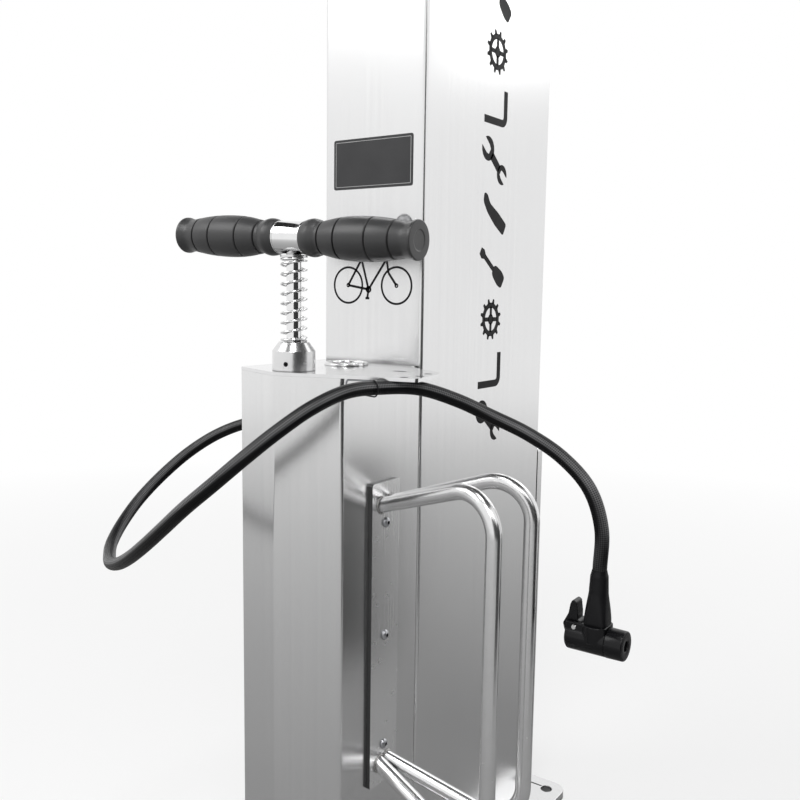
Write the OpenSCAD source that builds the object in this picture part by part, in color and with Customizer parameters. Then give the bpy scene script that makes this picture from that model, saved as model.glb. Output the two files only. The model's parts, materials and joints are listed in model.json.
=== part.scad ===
// Bicycle repair station: a folded steel column with a built-in track pump,
// a hose with a lever head, a tool shelf, a front-wheel holder and two hanger arms.
// Frame: origin at the centre of the anchor pattern on the ground, +Z up.
// The pump stands at the -Y end and the wheel holder faces +X.

/* [Base plate] */
// Width of the base plate along X
base_w = 200; // [180:1:260]
// Length of the base plate along Y
base_l = 460; // [420:1:560]
// Thickness of the base plate
base_t = 10; // [8:0.5:16]
// Corner radius of the base plate
base_corner_r = 16; // [4:1:30]
// Distance from the anchor holes' centres to the base plate's edges
anchor_edge = 20; // [16:0.5:26]
// Anchor hole diameter
anchor_d = 14; // [10:0.5:18]

/* [Column] */
// Width of the column along X
column_w = 120; // [110:1:140]
// Depth of the column along Y
column_d = 260; // [220:1:280]
// Top of the column above the ground
column_top_z = 1400; // [1360:1:1600]
// Sheet thickness of the column
column_t = 3; // [2:0.5:5]
// Outer bend radius of the column
column_bend_r = 4; // [3.5:0.5:8]
// Distance from the anchor centre to the column's front face
column_front = 65; // [55:1:70]
// Thickness of the cap on the column
column_cap_t = 4; // [3:0.5:8]
// Depth of the lip under the column cap
column_cap_lip = 18; // [8:1:40]

/* [Pump housing] */
// Length of the housing's straight sides
housing_side = 120; // [110:1:130]
// How far the folded nose stands in front of the sides
housing_nose = 21; // [15:1:30]
// Sheet thickness of the housing
housing_t = 3; // [2:0.5:4]
// Outer bend radius of the housing
housing_bend_r = 4; // [3.2:0.2:8]
// Top edge of the housing
housing_top_z = 563; // [540:1:600]
// Width of the flanges that lie on the column
housing_flange = 22; // [18:1:30]
// Height of the lowest housing bolt
housing_bolt_z = 60; // [40:1:90]
// Spacing of the housing bolts
housing_bolt_dz = 430; // [380:5:440]
// Diameter of the housing bolts
housing_bolt_d = 6; // [5:1:8]

/* [Lid and tool shelf] */
// Thickness of the lid plate
lid_t = 3; // [2:0.5:5]
// How far the shelf reaches out from the housing's side
shelf_reach = 65; // [55:1:75]
// How far the shelf's front edge falls back over its reach
shelf_rake = 17; // [10:1:25]
// Length of the shelf's outer edge
shelf_outer = 49; // [40:1:55]
// Corner radius of the shelf
shelf_corner_r = 4; // [2:0.5:6]
// Diameter of the shelf's round tool holes
tool_hole_d = 7; // [5:0.5:9]
// Length of the shelf's oval tool hole
tool_slot_l = 14; // [10:1:18]
// Outer diameter of the ring on the lid
ring_d = 46; // [40:1:50]
// Width of the ring's wall
ring_wall = 4; // [3:0.5:6]
// Height of the ring
ring_h = 5; // [4.5:0.5:8]

/* [Hose hook and strap] */
// Length of the hook tab along the lid's front edge
hook_l = 26; // [24:1:27]
// Height of the hook tab
hook_h = 12; // [11:0.5:16]
// Thickness of the hook tab
hook_t = 3; // [2:0.5:3.5]
// Width of the rim round the hook's eye
hook_rim = 3; // [2.5:0.5:3.5]
// Width of the tie between hose and hook
strap_w = 3; // [2:0.5:3.5]
// Thickness of the tie and of its collar
strap_t = 1; // [1:0.1:1.4]
// Length of the collar on the hose
strap_collar_l = 5; // [5:0.5:12]

/* [Pump] */
// Distance of the pump axis from the housing's front ridge
pump_inset = 27; // [27:0.5:34]
// Bore of the pump barrel
barrel_bore = 30; // [28:1:31]
// Wall of the pump barrel
barrel_wall = 2; // [1.5:0.5:2.5]
// Largest diameter of the cap
cap_d = 38; // [37.5:0.5:42]
// Height of the cap's straight part
cap_base_h = 17.4; // [15:0.2:20]
// Diameter of the cap's top
cap_top_d = 27; // [26:0.5:30]
// Height of the cap's conical shoulder
cap_cone_h = 7.6; // [7:0.2:12]
// Diameter of the piston rod
rod_d = 13; // [10:0.5:14]
// Pumping stroke
stroke = 400; // [300:5:420]
// Height of the piston
piston_h = 20; // [16:1:24]

/* [Spring] */
// Outer diameter of the return spring
spring_d = 24; // [21:0.5:25]
// Diameter of the spring wire
spring_wire = 1.9; // [1.5:0.1:2.2]
// Open turns of the spring
spring_turns = 8; // [6:1:9]
// Free length of the spring
spring_l = 73.8; // [65:0.2:90]
// How far the handle can press the spring down
spring_travel = 40; // [30:1:42]
// Thickness of the washer on the spring
washer_t = 2; // [1.5:0.5:4]

/* [Handle] */
// Outer diameter of the hub sleeve
hub_d = 29; // [26:0.5:34]
// Length of the hub sleeve
hub_l = 32; // [28:1:56]
// Overall length of the handle
handle_l = 258; // [240:1:280]
// Droop of the handle's +X end in degrees
handle_tilt = 2; // [0:0.5:3]
// Turn of the handle about the rod in degrees
handle_yaw = 3; // [-10:0.5:10]
// Diameter of the bar inside the grips
core_d = 18; // [16:0.5:20]
// Largest diameter of the grips
grip_d = 36.8; // [33:0.2:42]
// Diameter of the grip's end flanges
grip_flange_d = 32; // [30:0.5:36]
// Diameter of the grip beside its flanges
grip_neck_d = 29; // [26:0.5:30]
// Width of the grip's flanges
grip_flange_w = 5; // [3:0.5:7]
// Width of the grooves in the grip
grip_groove_w = 1.8; // [1:0.2:3]
// Depth of the grooves in the grip
grip_groove_depth = 1.2; // [0.6:0.2:2]

/* [Wheel holder] */
// Width of the holder plate
holder_w = 42; // [36:1:50]
// Height of the holder plate
holder_h = 291; // [280:1:300]
// Thickness of the holder plate
holder_t = 4; // [3:0.5:6]
// Height of the holder's centre above the ground
holder_z = 319.5; // [300:0.5:340]
// Distance from the column's front face to the middle of the holder on the housing's side
holder_offset = 60; // [54:0.5:66]
// Outer diameter of the rails
rail_d = 14; // [12:0.5:16]
// Distance between the rail ends at the plate
rail_gap = 12.4; // [11:0.2:14]
// Vertical distance between a rail's two ends
rail_ends_dz = 249; // [240:1:255]
// Reach of the rails from the plate
rail_reach = 130.5; // [110:0.5:140]
// Splay of each rail in degrees
rail_splay = 11.8; // [8:0.2:14]
// Rise of a rail's arm in degrees
rail_rise = 17.5; // [10:0.5:20]
// Bend radius at the centre of a rail
rail_bend_r = 33; // [24:1:40]
// Spacing of the holder bolts
holder_bolt_dz = 107.3; // [95:0.1:110]
// Diameter of the holder bolts
holder_bolt_d = 6; // [5:1:7]

/* [Plug] */
// Diameter of the domed plug in the column's front face
dome_d = 19; // [14:1:24]
// Height of the domed plug's head
dome_h = 5; // [3:0.5:8]
// Diameter of the plug's shank
dome_shank_d = 10; // [8:0.5:12]
// Height of the plug above the ground
dome_z = 700; // [650:5:800]
// Distance of the plug from the column's middle
dome_x = 37.5; // [30:0.5:45]

/* [Hanger arms] */
// Height of the hanger arms
hanger_z = 1300; // [1250:1:1330]
// Distance between the two arms
arm_gap = 110; // [90:1:120]
// Length of the arms
arm_l = 260; // [200:5:300]
// Diameter of the arms
arm_d = 20; // [16:1:24]
// Diameter of the rubber sleeves
sleeve_d = 32; // [30:1:38]
// Length of the rubber sleeves
sleeve_l = 200; // [150:5:200]
// Width of the hanger plate along Y
hanger_w = 180; // [175:1:200]
// Height of the hanger plate
hanger_h = 70; // [60:1:90]
// Thickness of the hanger plate
hanger_t = 6; // [4:0.5:8]
// Distance from the hanger bolts' centres to the hanger plate's edges
hanger_bolt_edge = 15; // [12:0.5:18]
// Diameter of the hanger bolts
hanger_bolt_d = 8; // [6:1:8]

/* [Rear cover] */
// Width of the rear cover
cover_w = 114; // [110:1:116]
// Height of the rear cover
cover_h = 400; // [300:5:420]
// Lower edge of the rear cover
cover_z = 50; // [30:1:80]
// Depth of the rear cover's tray
cover_depth = 12; // [8:1:16]
// Thickness of the gasket behind the cover
gasket_t = 6; // [4:0.5:8]
// Width of the gasket's rim
gasket_rim = 12; // [11:0.5:16]

/* [Hose and pump head] */
// Outer diameter of the hose
hose_d = 12; // [10:0.5:12]
// Length of the neck between hose and head
neck_l = 46; // [40:1:60]
// Diameter of the head's body
head_d = 25; // [24:0.5:26]
// Length of the head's body behind its collar
head_l = 35.2; // [34:0.2:40]
// Length of the head's collar
collar_l = 15; // [12:0.5:18]
// Width of the head lever
lever_w = 12; // [10:0.5:13]
// Diameter of the lever pin
lever_pin_d = 3; // [2:0.5:4]

/* [Fits] */
// Radial clearance of a sliding or turning fit
running_fit = 0.05; // [0.02:0.01:0.1]
// Gap between flat faces of separate pieces
seat_gap = 0.2; // [0.1:0.05:0.3]
// Radial clearance of bolts in their holes
bolt_clearance = 0.3; // [0.2:0.05:0.6]

/* [Hidden] */
$fn = 48;

// Colours
steel = "#d3d5d6";
polished = "#e9ebec";
dark_steel = "#8f9294";
rubber = "#26282a";
plastic = "#1b1c1e";
brass = "#c9a45a";
hose_black = "#202123";

// Base plate
anchor_dx = base_w - 2 * anchor_edge;
anchor_dy = base_l - 2 * anchor_edge;

// Column
column_y0 = -column_front;
column_y1 = column_y0 + column_d;
column_x = column_w / 2;
column_mid_y = (column_y0 + column_y1) / 2;
cap_lip_w = column_w - 2 * column_t - 2 * seat_gap;
cap_lip_d = column_d - 2 * column_t - 2 * seat_gap;

// Housing plan: straight sides from the column, then a symmetric folded nose
housing_y_side = column_y0 - housing_side;
housing_y_nose = housing_y_side - housing_nose;
housing_outline = [[column_x, column_y0], [column_x, housing_y_side], [0, housing_y_nose],
                   [-column_x, housing_y_side], [-column_x, column_y0]];
inner_x = column_x - housing_t;
inner_nose_y = housing_y_nose + housing_t / cos(atan(housing_nose / column_x));
inner_side_y = inner_nose_y + inner_x * housing_nose / column_x;
housing_inner = [[inner_x, column_y0 - housing_t], [inner_x, inner_side_y], [0, inner_nose_y],
                 [-inner_x, inner_side_y], [-inner_x, column_y0 - housing_t]];
lid_top_z = housing_top_z + lid_t;
ring_y = column_y0 - 38;
housing_bolt_x = column_x - housing_flange + 8;

// Shelf plan, on the +X side of the housing
shelf_dir = [shelf_reach, shelf_rake] / norm([shelf_reach, shelf_rake]);
shelf_front_end = [column_x + shelf_reach, housing_y_side + shelf_rake];
shelf_outer_end = shelf_front_end + shelf_outer * [-0.2, 0.98];
shelf_tip = shelf_outer_end + [-9, 13];
shelf_back = [column_x + 3, column_y0 - 16];
tool_slot_at = [column_x + 15.5, housing_y_side + 62];
tool_holes_at = [shelf_outer_end + [-7.5, -6], shelf_front_end + [-16, 3.5],
                 shelf_front_end + [-11, 20]];

// Hook eye and strap
hook_start = 2;
hook_eye_h = hook_h - 2 * hook_rim;
hook_eye_l = hook_l - 2 * hook_rim;
hook_edge_0 = [column_x, housing_y_side];
hook_normal = [shelf_dir[1], -shelf_dir[0]];
strap_eye = hook_edge_0 + shelf_dir * (hook_start + 16) - hook_normal * hook_t / 2;
strap_eye_z = housing_top_z - hook_h + hook_rim / 2;

// Pump stack
pump_y = housing_y_nose + pump_inset;
barrel_d = barrel_bore + 2 * barrel_wall;
spigot_h = 10;
barrel_end_z = lid_top_z + 9;
cap_shoulder_z = lid_top_z + cap_base_h;
cap_top_z = cap_shoulder_z + cap_cone_h;
bush_d = 22;
bush_flange_z = barrel_end_z - 15;
bush_top_z = cap_top_z - 7;
wiper_d = 19;
end_gap = 2;
piston_nut_h = 8;
piston_d = barrel_bore - 1;
seal_z = 8;
seal_h = 5;
seal_in_d = barrel_bore - 6;
piston_z = bush_flange_z - end_gap - stroke - piston_h;
rod_foot_z = piston_z - piston_nut_h;
rod_foot_d = rod_d - 3;
rod_shoulder_z = piston_z + piston_h + seat_gap;
foot_top_z = rod_foot_z - spring_travel - end_gap - spigot_h;
foot_h = foot_top_z - base_t;
// The foot and the bracket's eye fill the nose up to this gap from its sheet
foot_gap = 0.5;
nose_angle = atan(housing_nose / column_x);
foot_d = 2 * (pump_inset * cos(nose_angle) - housing_t - foot_gap);
cap_screw_d = 4;
cap_screw_z = barrel_end_z - cap_screw_d / 2 - 0.5;
cap_screw_angle = -70;
spring_top_z = cap_top_z + spring_l;
washer_top_z = spring_top_z + washer_t;
// The tilted hub's lowest line dips below its middle by this much at the washer's rim
hub_dip = spring_d / 2 * tan(handle_tilt) + hub_d / 2 * (1 / cos(handle_tilt) - 1);
handle_z = washer_top_z + seat_gap + hub_dip + hub_d / 2;
grip_l = (handle_l - hub_l) / 2;
rod_top_d = core_d / 2 - 1;
rod_neck_z = handle_z - core_d / 2 - 0.6;
hub_screw_d = 5;
grip_wall = 3;
grip_steps = 14;
grip_grooves = [0.187, 0.366, 0.64, 0.827];

// Air path behind the pump
valve_rise = 30;
valve_z = base_t + valve_rise;
valve_l = 28;
valve_d = 16;
valve_seat = 3;
port_d = 6;
pipe_d = 8;
pipe_bend_r = 16;
gland_setback = 19;
gland_drop = 64;
gland_y = column_y0 - gland_setback;
gland_z = housing_top_z - gland_drop;
gland_out = 22;
gland_stub_in = 20;
gland_thread_d = 13;
bracket_z = 330;
bracket_w = 60;
bracket_t = 4;
bracket_flange_h = 30;

// Wheel holder
holder_y = column_y0 - holder_offset;
rail_u = rail_reach / cos(rail_splay);
rail_corner_dz = rail_u * tan(rail_rise);
holder_bolt_zs = [for (i = [-1:1]) holder_z + i * holder_bolt_dz];

// Hanger
arm_x0 = column_x + hanger_t;
sleeve_rings = 7;
hanger_bolt_dy = hanger_w - 2 * hanger_bolt_edge;
hanger_bolt_dz = hanger_h - 2 * hanger_bolt_edge;
hanger_bolts_at = [for (y = [-1, 1]) for (z = [-1, 1])
    [column_mid_y + y * hanger_bolt_dy / 2, hanger_z + z * hanger_bolt_dz / 2]];

// Rear cover
cover_y0 = column_y1 + gasket_t;
cover_sheet = 2;
cover_screw_d = 5;
cover_boss_d = 12;
cover_screws_at = [for (x = [-1, 1]) for (z = [0, 0.5, 1])
    [x * (cover_w - gasket_rim) / 2, cover_z + gasket_rim / 2 + z * (cover_h - gasket_rim)]];

// Hose route from the gland on the -X wall, round the pump, under the shelf and down
hose_route = [[-82, -84, 499], [-116, -84, 499], [-149, -89, 493], [-178, -103, 480],
    [-201, -122, 461], [-217, -145, 438], [-225, -171, 414], [-221, -197, 394],
    [-207, -221, 381], [-183, -242, 377], [-155, -261, 380], [-125, -275, 389],
    [-95, -286, 403], [-65, -294, 421], [-35, -299, 442], [-6, -301, 464],
    [21, -296, 486], [44, -285, 508], [61, -266, 527], [75, -241, 543], [85, -211, 553],
    [95, -180, 556], [115, -151, 556], [138, -128, 548], [162, -110, 534],
    [192, -100, 519], [222, -94, 501], [245, -90, 477], [256, -88, 445], [256, -88, 410]];
hose_sides = 10;
// The strap's collar lies on this part of the route, as its index and share
hose_at_hook = 20;
hose_share_at_hook = 0.8;
strap_at = hose_route[hose_at_hook] * (1 - hose_share_at_hook)
    + hose_route[hose_at_hook + 1] * hose_share_at_hook;
strap_offset = strap_eye - [strap_at[0], strap_at[1]];
strap_reach = norm(strap_offset);
strap_dir = [strap_offset[0], strap_offset[1], 0] / strap_reach;
strap_rise = strap_eye_z - strap_at[2];
strap_sin = abs(strap_dir[0] * shelf_dir[1] - strap_dir[1] * shelf_dir[0]);
// The tie's ring lies this deep in the collar's wall
collar_bite = 0.3;
// Half the room that the eye's rim takes inside the tie, which crosses it at a slant
strap_eye_half = (hook_t + strap_w * sqrt(1 - strap_sin * strap_sin)) / 2 / strap_sin;
strap_eye_r = norm([strap_eye_half, hook_rim / 2]) + 0.3;
hose_end = hose_route[len(hose_route) - 1];

// Pump head: its own axes are the station's, and the hose enters from above
neck_z0 = 14;
boss_d = head_d + 2;
head_at = hose_end - [0, 0, neck_z0 + neck_l];
collar_x0 = 10.4;
head_back = collar_x0 - head_l;
lever_pin_at = [-16.7, 10];
cam_r = 5.5;
cam_back_r = 12.2;
lever_slot_w = lever_w + 0.4;
spigot_d = head_d - 5;
spigot_l = 5;
collar_wall = 4;
seal_x0 = collar_x0 + spigot_l;
seal_l = collar_l - collar_wall - spigot_l - seat_gap;
yoke_w = lever_w + 8;
seal_bore = 8;

// Helpers ----------------------------------------------------------------------------

function unit(v) = v / norm(v);

// Corner i of a closed outline, rounded with radius r by n steps
function arc_corner(a, b, c, r, n) =
    let (u = unit(a - b),
         v = unit(c - b),
         half = acos(max(-1, min(1, u * v))) / 2,
         t = r / tan(half),
         m = unit(u + v),
         o = b + m * r / sin(half),
         p = b + u * t - o,
         q = b + v * t - o,
         turn = 180 - 2 * half,
         side = cross(p, q) > 0 ? 1 : -1)
    [for (k = [0:n]) let (w = side * turn * k / n)
        o + [p[0] * cos(w) - p[1] * sin(w), p[0] * sin(w) + p[1] * cos(w)]];

// Closed outline with each corner rounded; radii is one value or one for each corner
function rounded(points, radii, n = 5) =
    let (last = len(points) - 1)
    [for (i = [0:last])
        let (r = is_list(radii) ? radii[i] : radii,
             before = points[i == 0 ? last : i - 1],
             after = points[i == last ? 0 : i + 1])
        each (r > 0 ? arc_corner(before, points[i], after, r, n) : [points[i]])];

// A rectangle with true round corners, centred
module round_rect(w, d, r) {
    square([w - 2 * r, d], center = true);
    square([w, d - 2 * r], center = true);
    for (x = [-1, 1]) for (y = [-1, 1])
        translate([x * (w / 2 - r), y * (d / 2 - r)]) circle(r);
}

// Children in a frame with the given origin and axes
module in_frame(p, x, y, z)
    multmatrix([[x[0], y[0], z[0], p[0]], [x[1], y[1], z[1], p[1]],
                [x[2], y[2], z[2], p[2]], [0, 0, 0, 1]]) children();

// Points of a bend of radius r that rounds corner b between a and c
function bend(a, b, c, r, n) =
    let (d0 = unit(b - a),
         d1 = unit(c - b),
         turn = acos(d0 * d1),
         inward = unit(d1 - d0 * (d0 * d1)),
         centre = b - d0 * r * tan(turn / 2) + inward * r)
    [for (k = [0:n]) centre + r * (d0 * sin(turn * k / n) - inward * cos(turn * k / n))];

// A route along straight runs with every corner bent to one radius
function bent_route(points, r, n = 8) =
    let (last = len(points) - 1)
    concat([points[0]], [for (i = [1:last - 1]) each bend(points[i - 1], points[i], points[i + 1], r, n)],
           [points[last]]);

function directions(route) =
    let (last = len(route) - 1)
    [for (i = [0:last]) unit(route[min(i + 1, last)] - route[max(i - 1, 0)])];

// One vector square to each direction, carried along without twist
function carried(dirs, first) =
    [for (i = 0, n = first; i < len(dirs); i = i + 1, n = unit(n - (dirs[min(i, len(dirs) - 1)] * n)
        * dirs[min(i, len(dirs) - 1)])) n];

// A closed tube of one polyhedron along a route
module swept_tube(route, d, sides) {
    dirs = directions(route);
    ups = carried(dirs, unit(cross(dirs[0], abs(dirs[0][1]) < 0.9 ? [0, 1, 0] : [1, 0, 0])));
    points = [for (i = [0:len(route) - 1]) for (j = [0:sides - 1])
        route[i] + d / 2 * (ups[i] * cos(j * 360 / sides) + cross(dirs[i], ups[i]) * sin(j * 360 / sides))];
    tube_mesh(points, len(route), sides);
}

// A closed tube through rings of points
module tube_mesh(points, rings, sides) polyhedron(points,
    concat([[for (j = [0:sides - 1]) j]],
        [for (i = [0:rings - 2]) for (j = [0:sides - 1])
            let (a = i * sides + j, b = i * sides + (j + 1) % sides)
            each [[a, a + sides, b + sides], [a, b + sides, b]]],
        [[for (j = [sides - 1:-1:0]) (rings - 1) * sides + j]]));

// Button-head bolt: its head's seat is at the origin and its shank runs along -Z
module button_bolt(d, grip) {
    head_r = d * 0.8;
    head_h = d * 0.55;
    difference() {
        union() {
            rotate_extrude() polygon(concat([[0, 0], [head_r, 0]],
                [for (a = [15:15:75]) [head_r * cos(a) * 0.94 + 0.06 * head_r, head_h * sin(a)]],
                [[0, head_h]]));
            translate([0, 0, -grip]) cylinder(h = grip + 0.5, d = d);
        }
        translate([0, 0, head_h * 0.35]) cylinder(h = head_h, d = d * 0.62, $fn = 6);
    }
}

// Hex nut on a bolt: its seat is at the origin and it stands along +Z
module hex_nut(d) difference() {
    cylinder(h = d * 0.8, d = d * 1.9, $fn = 6);
    translate([0, 0, -1]) cylinder(h = d * 0.8 + 2, d = d + 2 * running_fit);
}

// Children turned so that their +Z points along the named direction
module facing_px() rotate([0, 90, 0]) children();
module facing_mx() rotate([0, -90, 0]) children();
module facing_py() rotate([-90, 0, 0]) children();
module facing_my() rotate([90, 0, 0]) children();

// Base and column ----------------------------------------------------------------------

module base_plate() color(steel) difference() {
    linear_extrude(base_t) round_rect(base_w, base_l, base_corner_r);
    for (x = [-1, 1]) for (y = [-1, 1])
        translate([x * anchor_dx / 2, y * anchor_dy / 2, -1]) cylinder(h = base_t + 2, d = anchor_d);
}

module column() color(steel) difference() {
    translate([0, column_mid_y, base_t]) linear_extrude(column_top_z - base_t) difference() {
        round_rect(column_w, column_d, column_bend_r);
        round_rect(column_w - 2 * column_t, column_d - 2 * column_t, max(column_bend_r - column_t, 0.4));
    }
    // Access opening behind the rear cover
    translate([0, column_y1 - column_t / 2, cover_z + cover_h / 2])
        cube([cover_w - 2 * gasket_rim - 2, column_t + 2, cover_h - 2 * gasket_rim], center = true);
    for (p = cover_screws_at)
        translate([p[0], column_y1 + 1, p[1]]) facing_my()
            cylinder(h = column_t + 2, d = cover_screw_d + 2 * running_fit);
    for (x = [-1, 1]) for (k = [0, 1])
        translate([x * housing_bolt_x, column_y0 - 1, housing_bolt_z + k * housing_bolt_dz]) facing_py()
            cylinder(h = column_t + 2, d = housing_bolt_d + 2 * bolt_clearance);
    for (p = hanger_bolts_at)
        translate([column_x - column_t - 1, p[0], p[1]]) facing_px()
            cylinder(h = column_t + 2, d = hanger_bolt_d + 2 * bolt_clearance);
    translate([dome_x, column_y0 - 1, dome_z]) facing_py()
        cylinder(h = column_t + 2, d = dome_shank_d + 2 * running_fit);
}

module column_cap() color(steel) translate([0, column_mid_y, column_top_z]) {
    linear_extrude(column_cap_t) round_rect(column_w, column_d, column_bend_r);
    translate([0, 0, -column_cap_lip]) linear_extrude(column_cap_lip + 0.1) difference() {
        round_rect(cap_lip_w, cap_lip_d, 2);
        round_rect(cap_lip_w - 2 * column_cap_t, cap_lip_d - 2 * column_cap_t, 1);
    }
}

// Button-shaped plug with a shank through the column's front face
module dome_plug() color(polished) translate([dome_x, column_y0, dome_z]) facing_my() {
    rotate_extrude() polygon(concat([[0, 0]], [for (a = [0:15:90]) [dome_d / 2 * cos(a), dome_h * sin(a)]]));
    translate([0, 0, -column_t - 6]) cylinder(h = column_t + 6.5, d = dome_shank_d);
}

// Pump housing and lid -----------------------------------------------------------------

// The folded sheet in plan: rounded outline, hollow, and open between its two flanges
module housing_plan() difference() {
    polygon(rounded(housing_outline, housing_bend_r));
    polygon(rounded(housing_inner, max(housing_bend_r - housing_t, 0.4)));
    translate([-column_x + housing_flange, column_y0 - housing_t - 1])
        square([column_w - 2 * housing_flange, housing_t + 2]);
}

module pump_housing() color(steel) difference() {
    translate([0, 0, base_t]) linear_extrude(housing_top_z - base_t) housing_plan();
    for (x = [-1, 1]) for (k = [0, 1])
        translate([x * housing_bolt_x, column_y0 + 1, housing_bolt_z + k * housing_bolt_dz]) facing_my()
            cylinder(h = housing_t + 2, d = housing_bolt_d + 2 * bolt_clearance);
    for (z = holder_bolt_zs)
        translate([column_x - housing_t - 1, holder_y, z]) facing_px()
            cylinder(h = housing_t + 2, d = holder_bolt_d + 2 * bolt_clearance);
    translate([-column_x + housing_t + 1, gland_y, gland_z]) facing_mx()
        cylinder(h = housing_t + 2, d = gland_thread_d + 2 * running_fit);
}

// Bolts through the housing's flanges into the column, their heads inside the housing
module housing_bolts() color(dark_steel)
    for (x = [-1, 1]) for (k = [0, 1])
        translate([x * housing_bolt_x, column_y0 - housing_t, housing_bolt_z + k * housing_bolt_dz])
            facing_my() button_bolt(housing_bolt_d, housing_t + column_t + housing_bolt_d * 0.8 + 2);

module housing_nuts() color(dark_steel)
    for (x = [-1, 1]) for (k = [0, 1])
        translate([x * housing_bolt_x, column_y0 + column_t, housing_bolt_z + k * housing_bolt_dz])
            facing_py() hex_nut(housing_bolt_d);

// Lid over the housing that runs on as the tool shelf
module housing_lid() color(polished) difference() {
    translate([0, 0, housing_top_z]) linear_extrude(lid_t) polygon(rounded(
        [[column_x - 5, column_y0 - seat_gap], [column_x - 5, shelf_back[1] + 5], shelf_back, shelf_tip,
         shelf_outer_end, shelf_front_end, [column_x, housing_y_side], [0, housing_y_nose],
         [-column_x, housing_y_side], [-column_x, column_y0 - seat_gap]],
        [0, 2, 3, shelf_corner_r, shelf_corner_r, shelf_corner_r, 0, housing_bend_r, housing_bend_r, 0]));
    translate([0, pump_y, housing_top_z - 1]) cylinder(h = lid_t + 2, d = barrel_d + 4 * running_fit);
    for (p = tool_holes_at)
        translate([p[0], p[1], housing_top_z - 1]) cylinder(h = lid_t + 2, d = tool_hole_d);
    translate([tool_slot_at[0], tool_slot_at[1], housing_top_z - 1]) linear_extrude(lid_t + 2) {
        square([tool_slot_l - tool_hole_d, tool_hole_d], center = true);
        for (x = [-1, 1]) translate([x * (tool_slot_l - tool_hole_d) / 2, 0]) circle(d = tool_hole_d);
    }
}

// Rolled ring that stands on the lid
module lid_ring() color(polished) translate([0, ring_y, lid_top_z]) rotate_extrude() {
    translate([ring_d / 2 - ring_wall, 0]) square([ring_wall, ring_h - ring_wall / 2]);
    translate([ring_d / 2 - ring_wall / 2, ring_h - ring_wall / 2]) circle(d = ring_wall, $fn = 24);
}

// Eye tab under the lid's front edge, along the shelf
module hose_hook() color(polished)
    in_frame([hook_edge_0[0], hook_edge_0[1], housing_top_z - hook_h],
             [shelf_dir[0], shelf_dir[1], 0], [0, 0, 1], [shelf_dir[1], -shelf_dir[0], 0])
    translate([hook_start, 0, -hook_t]) linear_extrude(hook_t) difference() {
        polygon(rounded([[0, 0], [hook_l, 0], [hook_l, hook_h], [0, hook_h]], [4, 4, 0, 0]));
        translate([hook_rim, hook_rim]) polygon(rounded(
            [[0, 0], [hook_eye_l, 0], [hook_eye_l, hook_eye_h], [0, hook_eye_h]], 1.5));
    }

// Strap that ties the hose to the hook: a collar on the hose and a tie through the eye
module hose_strap() color(rubber) {
    along = unit(hose_route[hose_at_hook + 1] - hose_route[hose_at_hook]);
    across = unit(cross([0, 0, 1], along));
    in_frame(strap_at, across, cross(along, across), along)
    translate([0, 0, -strap_collar_l / 2]) difference() {
        cylinder(h = strap_collar_l, r = hose_d / 2 + seat_gap + strap_t + 2 * collar_bite);
        translate([0, 0, -1]) cylinder(h = strap_collar_l + 2, r = hose_d / 2 + seat_gap);
    }
    in_frame(strap_at, strap_dir, [0, 0, 1], cross(strap_dir, [0, 0, 1]))
    translate([0, 0, -strap_w / 2]) linear_extrude(strap_w) difference() {
        strap_loop(strap_t);
        strap_loop(0);
    }
}

// One outline of the tie, grown outwards by t
module strap_loop(t) hull() {
    circle(r = hose_d / 2 + seat_gap + collar_bite + t);
    translate([strap_reach, strap_rise]) circle(r = strap_eye_r + t);
}

// Pump ---------------------------------------------------------------------------------

module pump_barrel() color(polished) translate([0, pump_y, foot_top_z]) difference() {
    cylinder(h = barrel_end_z - foot_top_z, d = barrel_d);
    translate([0, 0, -1]) cylinder(h = barrel_end_z - foot_top_z + 2, d = barrel_bore);
}

// Foot that closes the barrel, with a spigot in its bore and a side port
module barrel_foot() color(dark_steel) difference() {
    translate([0, pump_y, base_t]) {
        cylinder(h = foot_h, d = foot_d);
        cylinder(h = foot_h + spigot_h, d = barrel_bore - 2 * running_fit);
    }
    translate([0, pump_y, valve_z]) cylinder(h = foot_h + spigot_h, d = port_d);
    translate([0, pump_y, valve_z]) facing_py() cylinder(h = foot_d, d = port_d);
    translate([0, pump_y + foot_d / 2 - valve_seat, valve_z]) facing_py()
        cylinder(h = foot_d, d = valve_d + 2 * running_fit);
}

// Shelf-shaped bracket that holds the barrel to the column
module barrel_bracket() color(dark_steel) difference() {
    union() {
        translate([-bracket_w / 2, pump_y, bracket_z])
            cube([bracket_w, column_y0 - pump_y, bracket_t]);
        translate([0, pump_y, bracket_z]) cylinder(h = bracket_t, d = foot_d);
        translate([-bracket_w / 2, column_y0 - bracket_t, bracket_z])
            cube([bracket_w, bracket_t, bracket_flange_h]);
    }
    translate([0, pump_y, bracket_z - 1]) cylinder(h = bracket_t + 2, d = barrel_d + 4 * running_fit);
    translate([0, gland_y, bracket_z - 1]) cylinder(h = bracket_t + 2, d = pipe_d + 4);
}

// Cap screwed on the barrel's end over the lid; it guides the rod and carries the spring
module barrel_cap() color(steel) translate([0, pump_y, 0]) difference() {
    rotate_extrude() polygon([[0, lid_top_z], [cap_d / 2, lid_top_z], [cap_d / 2, cap_shoulder_z],
        [cap_top_d / 2, cap_top_z], [0, cap_top_z]]);
    translate([0, 0, lid_top_z - 1])
        cylinder(h = barrel_end_z - lid_top_z + 1, d = barrel_d + 2 * running_fit);
    translate([0, 0, lid_top_z]) cylinder(h = bush_top_z - lid_top_z, d = bush_d + 2 * running_fit);
    translate([0, 0, lid_top_z]) cylinder(h = cap_top_z, d = wiper_d + 2 * running_fit);
    rotate([0, 0, cap_screw_angle]) translate([0, 0, cap_screw_z]) facing_px()
        cylinder(h = cap_d, d = cap_screw_d + 2 * running_fit);
}

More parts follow.
